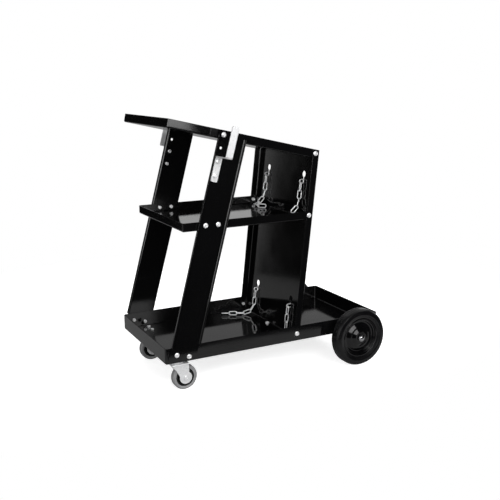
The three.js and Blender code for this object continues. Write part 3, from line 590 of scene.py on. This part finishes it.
def bolts():
    """All bolts but the castors', each turned as a spanner leaves it."""
    first_turn, next_turn, foot_turn = 0.7, 1.9, 0.4
    for side, sign in SIDES.items():
        for i, one in enumerate(side_bolts):
            form = bolt_form(one.outer - one.inner, first_turn + next_turn * i + sign)
            form = outward(form, sign, one.x, (one.outer + one.inner) / 2, one.z)
            whole_piece(f"bolt_{one.name}_{side}", form)
    foot = placed(bolt_form(2 * sheet + fit, foot_turn), UPRIGHT)
    whole_piece("bolt_panel_foot", moved(foot, foot_bolt_x, 0, base_floor + fit / 2))


# ---- sheet metal

def pan(length, width=tray.width, height=tray.wall, corner=tray.corner):
    """A tray folded from one sheet with its four walls turned up; its underside is at z = 0."""
    outside = fold + sheet
    edge = 0.6  # rounding of the walls' upper edge
    steps = 6

    def ring(inset, z):
        outline = rectangle(length / 2 - inset, width / 2 - inset, corner - inset, 7)
        return [Vector((x, y, z)) for x, y in outline]

    quarter = [(sin(k / steps * pi / 2), cos(k / steps * pi / 2)) for k in range(steps + 1)]
    rings = [ring(outside * (1 - s), outside * (1 - c)) for s, c in quarter]
    rings += [ring(edge * (1 - c), height - edge * (1 - s)) for s, c in quarter[::2]]
    rings += [ring(sheet - edge * (1 - s), height - edge * (1 - c)) for s, c in quarter[::2]]
    rings += [ring(outside - fold * c, outside - fold * s) for s, c in quarter]
    return skinned(rings, capped=True)


def castor_bolt_places(sign):
    return [(castor_x + i * castor_plate.bolts_x / 2, sign * castor.y + j * castor_plate.bolts_y / 2)
            for i, j in ((-1, -1), (-1, 1), (1, 1), (1, -1))]


def tray_piece(node, body, part, more_holes=()):
    carved_piece(node, body, [("DIFFERENCE", combined([*bolt_holes(part), *more_holes]))], 0)


def base_tray():
    body = moved(pan(base.length, 2 * base_face, base.wall, base.corner), 0, 0, base.clear)
    places = [place for sign in SIDES.values() for place in castor_bolt_places(sign)]
    upright = [rod(bolt_hole, Z, (x, y, 0), base.clear - past, base_floor + past)
               for x, y in [*places, (foot_bolt_x, 0)]]
    tray_piece("base_tray", body, "base", upright)


def middle_shelf():
    length = panel_front_x(shelf.bottom) - fit - shelf_front
    body = moved(pan(length), shelf_front + length / 2, 0, shelf.bottom)
    tray_piece("middle_shelf", body, "shelf")


def top_tray():
    room = panel_front_x(top.front_z) - fit - top_front
    length = room / (cos(top.tilt) + sin(top.tilt) * tan(panel.lean))
    body = moved(pan(length), length / 2, 0, -tray.wall)
    tray_piece("top_tray", moved(placed(body, TILTED), top_front, 0, top.front_z), "top")


def lean_leg(form, sign):
    """What is drawn upright about the leg's axis, with the leg's lean and flare."""
    points = [Vector((x / cos(leg.lean) + leg_axis_x(z), y + sign * flare_at(z), z)) for x, y, z in form[0]]
    return points, form[1]


def leg_outline():
    half = leg.width / 2 / cos(leg.lean)
    corners = side_view(beside(leg_axis_x, -half), beside(leg_axis_x, half), base.clear + leg.toe)
    radii = (leg.corner, leg.corner, leg.corner, leg.corner / 2)
    return rounded([(*corner, radius) for corner, radius in zip(corners, radii)], 8)


def lip_cuts(sign):
    """Cutters that stop a leg's lips short of the base tray's rim and of the leg's upper end."""
    half = leg.width / 2
    lip_side = sign * (leg_web + half)
    cutter = extruded(rectangle(leg.width, half), 2 * leg.width, X, Y)
    foot_cut = moved(cutter, 0, lip_side, base_rim + fit - leg.width)
    head_cut = placed(moved(cutter, 0, 0, leg.width - leg.corner - fold), TILTED)
    head_x, head_z = meet_top_line(leg_axis_x)
    return [lean_leg(foot_cut, sign), moved(head_cut, head_x, lip_side, head_z)]


def front_leg(side, sign):
    """A leaning channel: a web with a narrow lip turned outward along both edges."""
    edge = leg.width / 2 - sheet / 2
    reach = leg.lip - sheet / 2
    section = folded([(-edge, sign * reach), (-edge, 0), (edge, 0), (edge, sign * reach)], sheet, fold)
    channel = moved(extruded(section, 2 * top.front_z, X, Y, 2), 0, sign * (leg_face + sheet / 2), shelf_mid)
    spare = side_hole(sign, leg_row_x(heights.spare_hole), heights.spare_hole, leg_face, leg_web)
    steps = [("INTERSECT", extruded(leg_outline(), 3 * base_face, X, Z)),
             *[("DIFFERENCE", cutter) for cutter in lip_cuts(sign)],
             ("DIFFERENCE", combined(bolt_holes("leg", [sign]) + [spare]))]
    carved_piece(f"front_leg_{side}", lean_leg(channel, sign), steps)


def keyhole_form(y, z):
    """A round hole with a slot that drops from it, as a cutter through the panel."""
    turn = asin(keyhole.slot / keyhole.radius)
    outline = arc_points(keyhole.radius, -pi / 2 + turn, 2 * (pi - turn), 40)
    outline += arc_points(keyhole.slot, pi, pi, 12, y=keyhole.slot - keyhole.drop)
    return moved(extruded(outline, 4 * sheet, Y, leaning(panel.lean)[1]), panel_middle_x(z), y, z)


def panel_foot():
    """The flange at the panel's foot, turned forward onto the base tray."""
    seat = base_floor + fit + sheet / 2
    overlap = panel_low + 2 * panel.foot
    section = folded([(panel_front_x(seat) - panel.foot, seat), (panel_middle_x(seat), seat),
                      (panel_middle_x(overlap), overlap)], sheet - 0.1, fold, ease=0)
    return extruded(section, panel.foot_width, X, Z)


def rear_panel():
    """A leaning sheet with a flange turned forward along both sides, a foot and four keyholes."""
    side = leg_face + sheet / 2
    deep = panel.flange - sheet / 2
    section = folded([(-deep, side), (0, side), (0, -side), (-deep, -side)], sheet, fold)
    across = leaning(panel.lean)[0]
    body = moved(extruded(section, 2 * top.front_z, across, Y), panel_middle_x(shelf_mid), 0, shelf_mid)

    front_x, rear_x = beside(panel_front_x, -2 * panel.flange), beside(panel_rear_x, panel.flange)
    keep = extruded(side_view(front_x, rear_x, panel_low), 3 * base_face, X, Z)
    hole = rod(bolt_hole, Z, (foot_bolt_x, 0, 0), base_floor - past, base_floor + sheet + past)
    keyholes = [keyhole_form(sign * keyhole.spread, z) for sign in SIDES.values()
                for z in (heights.upper_keyhole, heights.lower_keyhole)]
    holes = combined([*bolt_holes("panel"), hole, *keyholes])
    carved_piece("rear_panel", body, [("INTERSECT", keep), ("UNION", panel_foot()), ("DIFFERENCE", holes)])


def cable_hook(side, sign):
    """A flat bar bent to a step: a plate on the leg, an arm reaching out and an end turned up."""
    across, upward = leaning(leg.lean)
    low_z = heights.lower_hook_bolt - hook.below * cos(leg.lean)
    foot = (leg_row_x(low_z), 0, low_z)
    face = leg_web + fit + hook.thick / 2
    tall = hook.plate + hook.rise
    line = [(face, 0), (face, hook.plate), (face + hook.reach, hook.plate), (face + hook.reach, tall)]
    section = folded([(sign * out, up) for out, up in line], hook.thick, hook.bend, 10)
    tip, half = hook.width / 4, hook.width / 2 + fit
    outline = rounded([(-half, -fit, tip), (half, -fit, tip), (half, tall, tip), (-half, tall, tip)])
    steps = [("INTERSECT", moved(extruded(outline, 4 * hook_outer, across, upward), *foot)),
             ("DIFFERENCE", combined(bolt_holes("hook", [sign])))]
    carved_piece(f"cable_hook_{side}", moved(extruded(section, hook.width, Y, upward), *foot), steps)


# ---- large wheels and their axle
# The third number of a place in a profile is the radius of its fillet.

def outward(form, sign, x, y, z):
    """A form drawn with +Y outward, put on one side of the cart."""
    if sign < 0:
        form = placed(form, Matrix.Rotation(pi, 4, "Z"))
    return moved(form, x, sign * y, z)


def groove(y):
    half, low = tyre.groove_wide / 2, wheel.radius - tyre.groove_deep
    return [(wheel.radius, y - half, 0.4), (low, y - half, 0.5), (low, y + half, 0.5),
            (wheel.radius, y + half, 0.4)]


def wheel_tyre():
    """A tyre with two grooves round its tread and a step in the outer side's bulge."""
    half = wheel.width / 2
    inner = rim.radius + fit
    bulge = inner + tyre.bulge
    step = bulge - tyre.step_in
    side = wheel.radius - tyre.shoulder
    profile = [(inner, -half + tyre.bead, 0.6), (bulge, -half, 6), (side, -half + tyre.lip, 1.5),
               (wheel.radius, -half + tyre.crown, 5), *groove(-tyre.groove), *groove(tyre.groove),
               (wheel.radius, half - tyre.crown, 5), (side, half - tyre.lip, 1.5), (bulge, half, 5),
               (step, half - tyre.step_top, 0.5), (step - tyre.step_wide, half - tyre.step_low, 0.4),
               (inner, half - tyre.bead, 0.6)]
    return turned(rounded(profile, 5), 96)


def wheel_rim():
    """A moulded rim, with the stepped face on its outer side and a plain web on the inner one."""
    half = wheel.width / 2
    web = -half + rim.web
    profile = [(rim.radius, -half + tyre.bead, 0.5), (rim.radius, half - tyre.bead, 1.0)]
    profile += [(radius, half - drop, ease) for radius, drop, ease in rim_face]
    profile += [(axle_bore, half - rim.hub_drop, 0.4), (axle_bore, -half, 0.4), (rim.hub, -half, 1),
                (rim.hub + rim.shoulder, web, 2), (rim.radius - rim.web_rim, web, 2)]
    return turned(rounded(profile, 6), 128)


def axle_cap():
    """A pressed cap: a rolled rim, a neck and a dome, open toward the wheel."""
    bore = axle.radius + cap.room
    reach = axle.past + fit
    shell = bore + cap.thick
    face = fit + cap.thick
    profile = [(0, reach), (bore, reach), (bore, fit), (cap.radius, fit)]
    profile += [(cap.radius + cap.roll * sin(k * pi / 6) - cap.tuck, fit + cap.thick * k / 6)
                for k in range(1, 6)]
    profile += [(shell + cap.roll, face + cap.neck_low), (shell, face + cap.neck_high)]
    spring = face + cap.spring
    profile += [(shell * x, spring + (reach + cap.dome - spring) * y)
                for x, y in arc_points(1, 0, pi / 2, 10)[:-1]]
    profile.append((0, reach + cap.dome))
    return turned(profile, 48, closed=False)


def axle_saddle(side, sign):
    """A strip bent round the axle with an ear to either side, welded under the base tray."""
    radius = axle.radius + fit + saddle.thick / 2
    seat = base.clear - fit - saddle.thick / 2 - wheel.radius
    section = folded([(-radius - saddle.ear, seat), (-radius, seat), (-radius, -radius), (radius, -radius),
                      (radius, seat), (radius + saddle.ear, seat)], saddle.thick, saddle.bend)
    strip = moved(extruded(section, saddle.width, X, Z), wheel_x, sign * saddle.y, wheel.radius)
    carved_piece(f"axle_saddle_{side}", strip, [])


def wheels():
    end = wheel_outer + axle.past
    thin = axle.radius - axle.ease
    bar = turned([(0, -end), (thin, -end), (axle.radius, -end + axle.ease), (axle.radius, end - axle.ease),
                  (thin, end), (0, end)], 40, closed=False)
    whole_piece("rear_axle", moved(bar, wheel_x, 0, wheel.radius))
    for side, sign in SIDES.items():
        axle_saddle(side, sign)
        place = (sign, wheel_x, wheel_middle, wheel.radius)
        whole_piece(f"rear_tyre_{side}", outward(wheel_tyre(), *place))
        whole_piece(f"rear_rim_{side}", outward(wheel_rim(), *place))
        cover = outward(axle_cap(), sign, wheel_x, wheel_outer, wheel.radius)
        whole_piece(f"axle_cap_{side}", cover, finish=POLISHED)


# ---- castors

def castor_fasteners(sign):
    """The four bolts, from under the top plate, and their nuts on the base tray's floor."""
    first_turn, next_turn = 0.5, 1.3
    nut_seat = base_floor + fit
    head_seat = castor_plate_top - castor_plate.thick
    parts = combined([hexagon(bolt.head, head_seat - bolt.head_high, head_seat),
                      hexagon(bolt.nut, nut_seat, nut_seat + bolt.nut_high),
                      rod(bolt.shank, Y, (0, 0, 0), head_seat - 1, nut_seat),
                      thread(bolt.shank, nut_seat, nut_seat + bolt.nut_high + bolt.end)])
    turns = [Matrix.Rotation(first_turn + next_turn * i + sign, 4, "Z") for i in range(4)]
    return combined([moved(placed(parts, turn @ UPRIGHT), x, y, 0)
                     for turn, (x, y) in zip(turns, castor_bolt_places(sign))])


def castor_top(side, sign):
    """The top plate with its ball race, king pin, bolts and nuts."""
    plate_mid = castor_plate_top - castor_plate.thick / 2
    outline = rectangle(castor_plate.length / 2, castor_plate.width / 2, castor_plate.corner)
    plate = moved(extruded(outline, castor_plate.thick, X, Y), castor_x, sign * castor.y, plate_mid)
    below = crown_top - fork.thick - fit
    profile = [(0, below - race.pin_head_high, 0), (race.pin_head, below - race.pin_head_high, 1.2),
               (race.pin_head, below, 0.3), (castor.pin, below, 0), (castor.pin, race_low, 0),
               (fork.crown - race.slope, race_low, 1.2), (fork.crown, race_low + race.rise, 2.2),
               (fork.crown - race.slope, plate_mid, 0), (0, plate_mid, 0)]
    pin = placed(turned(rounded(profile, 5), 56, closed=False), UPRIGHT)
    node = f"castor_plate_{side}"
    body = carved(node, plate, [("UNION", moved(pin, castor_x, sign * castor.y, 0))], 0.3)
    whole = bmesh.new()
    whole.from_mesh(body)
    whole.from_mesh(mesh_of("fasteners", castor_fasteners(sign)))
    whole.to_mesh(body)
    whole.free()
    piece(node, body)


def fork_outline():
    """The fork seen from the side: a slanting front, a round eye at the axle and an upright back."""
    cheek_z = crown_top - fork.cheek
    last = 2 * pi + acos((fork.back - castor.trail) / fork.eye)
    eye = arc_points(fork.eye, fork_eye_start, last - fork_eye_start, 40, castor.trail, castor.radius)
    front = [(-fork.crown, crown_top + 1, 0), (-fork.crown, cheek_z, 2), (*fork.knee, 9), (*eye[0], 0)]
    return rounded(front) + eye[1:] + [(fork.back, crown_top + 1)]


def castor_fork(side, sign):
    """The yoke: sheet folded down to both sides of the wheel, tapering to a round eye at the axle."""
    inner = castor.width / 2 + fork.gap
    wall = inner + fork.thick / 2
    high = crown_top - fork.thick / 2
    section = folded([(-wall, 0), (-wall, high), (wall, high), (wall, 0)], fork.thick, fork.bend)
    body = extruded(section, 2 * (fork.crown + fork.back + fork.eye), Y, Z)
    pin_hole = rod(castor.pin + fit, Z, (0, 0, 0), crown_top - 2 * fork.thick, crown_top + fork.thick)
    axle_hole = rod(castor.bolt + fit, Y, (castor.trail, 0, castor.radius), -2 * inner, 2 * inner)
    place = (castor_x, sign * castor.y, 0)
    steps = [("INTERSECT", moved(extruded(fork_outline(), 4 * castor.width, X, Z), *place)),
             ("DIFFERENCE", moved(combined([pin_hole, axle_hole]), *place))]
    carved_piece(f"castor_fork_{side}", moved(body, *place), steps, 0.45)


def castor_tyre():
    half = castor.width / 2
    outer = [(castor.radius, half - tread.crown, 3.5), (castor.radius - tread.shoulder, half, 2.5),
             (castor.core + fit, half - tread.bead, 0.5)]
    inner = [(radius, -y, ease) for radius, y, ease in outer[::-1]]
    return turned(rounded(inner + outer, 6), 80)


def castor_core():
    """The wheel's core: on both sides a flat ring, a well and the hub."""
    half, bore = castor.width / 2, castor.bolt + fit
    well, ring = castor.hub + fork.bend, castor.core - tread.shoulder
    face = half - tread.bead
    profile = [(castor.core, -face, 0.4), (castor.core, face, 0.6), (ring, face, 1),
               (well, half - tread.web, 2), (castor.hub, half, 0.6), (bore, half, 0), (bore, -half, 0),
               (castor.hub, -half, 0.6), (well, -half + tread.web, 2), (ring, -face, 1)]
    return turned(rounded(profile, 5), 64)


def castor_axle():
    """The wheel's bolt, its head outward, with its nut on the inner side."""
    under = castor.width / 2 + fork.gap + fork.thick + fit
    return combined([rod(castor.bolt, Y, (0, 0, 0), -under, under + castor_nut.overlap),
                     hexagon(castor_nut.head, under, under + castor_nut.head_high, castor_nut.dish),
                     hexagon(castor_nut.across, -under - castor_nut.high, -under),
                     thread(castor.bolt, -under, -under - castor_nut.high - castor_nut.past)])


def castor_wheel(side, sign):
    place = (sign, castor_x + castor.trail, castor.y, castor.radius)
    for name, form in (("tyre", castor_tyre()), ("core", castor_core()), ("axle", castor_axle())):
        whole_piece(f"castor_{name}_{side}", outward(form, *place))


# ---- chains

def link_form():
    """One link about the origin, long along Z and lying in the YZ plane, with its weld on one side."""
    path = []
    for end in (1, -1):
        for y, z in arc_points(1, 0, pi, 12):
            out = Vector((0, end * y, end * z))
            path.append((Vector((0, 0, end * straight / 2)) + out * arc, out, 1))
        if end > 0:
            for z, swell in ((link.weld_end, 1), (link.weld_long, link.weld), (0, link.weld),
                             (-link.weld_long, link.weld), (-link.weld_end, 1)):
                path.append((Vector((0, -arc, z)), -Y, swell))
    rings = [[place + (out * cos(turn) + X * sin(turn)) * (link.wire * swell) for turn in full_turn(14)]
             for place, out, swell in path]
    return skinned(rings, closed=True)


LINK = link_form()


def link_between(start, end, face):
    """A link from one place to the next; face is the direction that it lies flat to."""
    along = (end - start).normalized()
    flat = (face - along * face.dot(along)).normalized()
    return placed(LINK, basis(flat, along.cross(flat), along, (start + end) / 2))


def strand(places, face, twist=0.0):
    """Links through a row of places, each a quarter turn from the one before it, and twist further."""
    flat = face.copy()
    before = None
    links = []
    for i, (start, end) in enumerate(zip(places, places[1:])):
        along = (end - start).normalized()
        if before:
            flat = before.rotation_difference(along) @ flat
        flat = Quaternion(along, twist + (pi / 2 if i else 0)) @ flat
        before = along
        links.append(link_between(start, end, flat))
    return links


def curve_point(points, t):
    """A point on the centripetal curve through the points, t from 0 to 1."""
    last = len(points) - 1
    at = min(int(t * last), last - 1)
    share = t * last - at
    before, after = points[0] * 2 - points[1], points[-1] * 2 - points[-2]
    p0, p1, p2, p3 = [before, *points, after][at:at + 4]
    d0, d1, d2 = sqrt((p1 - p0).length), sqrt((p2 - p1).length), sqrt((p3 - p2).length)
    m1 = ((p1 - p0) / d0 - (p2 - p0) / (d0 + d1) + (p2 - p1) / d1) * d1
    m2 = ((p2 - p1) / d1 - (p3 - p1) / (d1 + d2) + (p3 - p2) / d2) * d1
    return (p1 + m1 * share + (p2 * 3 - p1 * 3 - m1 * 2 - m2) * share ** 2
            + (p1 * 2 - p2 * 2 + m1 + m2) * share ** 3)


def step_off(points):
    """Places one pitch apart along the curve, stepped off as straight lengths."""
    rough, steps = 200, 4000
    line = [curve_point(points, i / rough) for i in range(rough + 1)]
    length = sum((end - start).length for start, end in zip(line, line[1:]))
    count = int(length / pitch)
    places = [curve_point(points, 0)]
    for i in range(1, steps + 1):
        place = curve_point(points, i / steps)
        if len(places) <= count and (place - places[-1]).length >= pitch:
            places.append(place)
    return places, count


def slot_centre(keyhole_z, sign):
    z = keyhole_z - (keyhole.drop - link.width / 2 - fit) * cos(panel.lean)
    return Vector((panel_middle_x(z), sign * keyhole.spread, z))


def slot_link(centre):
    half = X * (pitch / 2)
    return link_between(centre - half, centre + half, Y)


def hang_place(centre, way, direction, gap=fit):
    """Where a strand's first link hangs on the slot link: -1 in front of the panel and 1 behind it."""
    level = sqrt(arc ** 2 - hang_out ** 2)
    lift = level - sqrt((arc - 2 * link.wire - gap) ** 2 - hang_out ** 2)
    wire = centre + Vector((way * (straight / 2 + hang_out), 0, -level))
    return wire + direction * ((link.length - pitch) / 2 - link.wire - lift)


def tail(keyhole_z, sign, count, gap=fit):
    """Places down the front of the panel, from the link in a slot, and that link's middle."""
    centre = slot_centre(keyhole_z, sign)
    down = -leaning(panel.lean)[1]
    start = hang_place(centre, -1, down, gap)
    return centre, [start + down * (i * pitch) for i in range(count + 1)]


def loose_end(keyhole_z, sign, floor, route):
    """A strand that hangs down the front of the panel and runs on over a floor, with its slot link."""
    centre, hanging = tail(keyhole_z, sign, hanging_pitches, -bite)
    corner = Vector((centre.x, centre.y, floor + lying_high))
    lying = [corner + Vector((-forward, sign * out, up)) * pitch for forward, out, up in route]
    places, count = step_off(hanging + lying)
    return combined([slot_link(centre), *strand(places, X, lying_roll / count)])


def catenary(x, half, z, count):
    """Places along a chain hanging between y = -half and half, its shape found by halving."""
    low, high = 1, 4000
    for _ in range(60):
        middle = (low + high) / 2
        if 2 * middle * sinh(half / middle) > count * pitch:
            low = middle
        else:
            high = middle
    a = (low + high) / 2
    places = []
    for i in range(count + 1):
        y = a * asinh((i - count / 2) * pitch / a)
        places.append(Vector((x, y, z - a * (cosh(half / a) - cosh(y / a)))))
    return places


def hanging_loop(keyhole_z, count):
    """The loop between two keyholes of a row, hanging behind the panel as a chain does."""
    centre = slot_centre(keyhole_z, 1)
    end = hang_place(centre, 1, Vector())
    for _ in range(6):  # the end link's slant and its place depend on each other
        places = catenary(end.x, end.y, end.z, count)
        end = hang_place(centre, 1, (places[-2] - places[-1]).normalized())
    return combined(strand(places, X))


def chains():
    upper, lower = heights.upper_keyhole, heights.lower_keyhole
    forms = {
        "chain_upper_tail_right": loose_end(upper, 1, shelf_floor, loose_ends["upper_right"]),
        "chain_lower_tail_right": loose_end(lower, 1, base_floor, loose_ends["lower_right"]),
        "chain_upper_tail_left": loose_end(upper, -1, shelf_floor, loose_ends["upper_left"]),
        "chain_lower_link_left": slot_link(slot_centre(lower, -1)),
        "chain_lower_tail_left": combined(strand(tail(lower, -1, tail_links)[1], X)),
        "chain_upper_loop": hanging_loop(upper, loop_links["upper"]),
        "chain_lower_loop": hanging_loop(lower, loop_links["lower"]),
    }
    for node, form in forms.items():
        whole_piece(node, form, smooth=60)


# ---- studio

WHITE = (1, 1, 1, 1)
backdrop_turn = radians(32)  # the backdrop's middle, from straight behind the cart toward the right
darkest = 0.006  # level of the dark parts of the studio


def floor_material():
    """White paper with a light shadow for the camera, fading to plain white where it runs out."""
    paper = Shader("floor_paper")
    paper.set(Base_Color=(0.4, 0.4, 0.4, 1), Roughness=0.9, Specular_IOR_Level=0.0)
    lit = paper.join("BsdfDiffuse", (0.8, 0.8, 0.8, 1))
    seen = paper.join("AddShader", lit, paper.join("Emission", WHITE, 0.72))
    far = paper.add("VectorMath", operation="LENGTH", Vector=paper.place()).outputs["Value"]
    fade = paper.span(far, 0, 1, 0.5, 0.95, smooth=True)
    seen = paper.join("MixShader", fade, seen, paper.join("Emission", WHITE, 1.0))
    ray = paper.add("LightPath").outputs["Is Camera Ray"]
    whole = paper.join("MixShader", ray, paper.surface.outputs[0], seen)
    paper.feed(paper.tree.nodes["Material Output"].inputs["Surface"], whole)
    return paper.material


def studio_floor():
    """An oval sheet of paper that ends a little in front of the cart and runs on behind it."""
    mesh = bpy.data.meshes.new("studio_floor")
    outline = [(cos(turn), sin(turn), 0) for turn in full_turn(96)]
    mesh.from_pydata(outline, [], [list(range(96))])
    mesh.materials.append(floor_material())
    ground = shown("studio_floor", mesh)
    ground.location = (0, 0.56, 0)
    ground.scale = (1.6, 1.08, 1)


def studio_world():
    """A studio that is white to the camera. Gloss sees a lit backdrop behind the cart on the right, a
    narrow one on the left, a light ceiling and a light left end, and dark between them."""
    world = bpy.data.worlds.new("studio")
    bpy.context.scene.world = world
    world.use_nodes = True
    studio = Nodes(world.node_tree)

    def ramp(value, start, end, low=0.0, high=1.0):
        return studio.span(value, low, high, start, end, smooth=True)

    def times(first, second):
        return studio.join("Math", first, second, operation="MULTIPLY")

    def brighter(first, second):
        return studio.join("Math", first, second, operation="MAXIMUM")

    direction = studio.add("TexCoord").outputs["Generated"]
    x, y, z = studio.add("SeparateXYZ", Vector=direction).outputs
    toward = studio.add("VectorMath", operation="DOT_PRODUCT", Vector=direction)
    toward.inputs[1].default_value = (sin(backdrop_turn), cos(backdrop_turn), 0)
    backdrop = times(ramp(toward.outputs["Value"], 0.66, 0.92), ramp(z, 0.2, 0.32, 0.8, 0.34))
    backdrop = times(backdrop, ramp(z, -0.08, 0.02, 0.42, 1))
    slant = studio.join("Math", x, brighter(y, 0.01), operation="DIVIDE")
    strip = times(ramp(slant, -0.59, -0.555), ramp(slant, -0.505, -0.475, 1, 0))
    strip = times(strip, ramp(z, 0.03, 0.08, 0.65, 0))
    ceiling = times(ramp(z, 0.45, 0.75), ramp(y, -0.25, 0.25))
    side = times(ramp(x, -0.75, -0.9), ramp(y, 0.1, -0.2))
    level = brighter(brighter(backdrop, strip), brighter(ceiling, side))
    path = studio.add("LightPath")
    surface = studio.join("Background", WHITE, 0.4)
    for ray, strength in (("Is Glossy Ray", brighter(level, darkest)), ("Is Camera Ray", 1.0)):
        shader = studio.join("Background", WHITE, strength)
        surface = studio.join("MixShader", path.outputs[ray], surface, shader)
    studio.feed(studio.tree.nodes["World Output"].inputs["Surface"], surface)


def softbox(name, place, target, width, height, power, mirrored=True):
    light = bpy.data.lights.new(name, "AREA")
    light.shape = "RECTANGLE"
    light.size = width
    light.size_y = height
    light.energy = power
    lamp = shown(name, light)
    lamp.location = place
    lamp.rotation_euler = (Vector(target) - Vector(place)).to_track_quat("-Z", "Y").to_euler()
    lamp.visible_glossy = mirrored


def camera():
    """The photograph's viewing angle; the focal length is in pixels of its 500-pixel width."""
    focal, pixels, sensor = 750.6, 500, 36
    yaw, tip, roll = radians(27.53), radians(12.754), radians(0.347)
    place = Vector((-1.0556, -2.0240, 0.8676))
    ahead = Vector((sin(yaw) * cos(tip), cos(yaw) * cos(tip), -sin(tip)))
    right = Vector((cos(yaw), -sin(yaw), 0))
    turn = Matrix.Rotation(roll, 3, ahead)
    data = bpy.data.cameras.new("camera")
    data.lens = focal * sensor / pixels
    view = shown("camera", data)
    view.matrix_world = basis(turn @ right, turn @ right.cross(ahead), -ahead, place)
    bpy.context.scene.camera = view


camera()
base_tray()
middle_shelf()
top_tray()
rear_panel()
for one_side, one_sign in SIDES.items():
    front_leg(one_side, one_sign)
    cable_hook(one_side, one_sign)
    castor_top(one_side, one_sign)
    castor_fork(one_side, one_sign)
    castor_wheel(one_side, one_sign)
bolts()
wheels()
chains()

studio_floor()
studio_world()
softbox("key", (-0.26, -2.3, 1.33), (-0.26, 0, 1.33), 1.79, 1.54, 36)
softbox("key_middle", (-0.35, -2.25, 1.5), (-0.2, 0, 0.9), 0.6, 0.55, 10)
softbox("left", (-1.9, -1.5, 0.9), (-0.1, 0, 0.6), 1.0, 1.0, 20)
softbox("right", (1.5, -1.9, 1.6), (0, 0, 0.5), 0.5, 0.5, 34, mirrored=False)
softbox("above", (0.3, 0.5, 2.6), (0, 0, 0.4), 1.4, 1.4, 16, mirrored=False)

bpy.context.scene.view_settings.view_transform = "Standard"
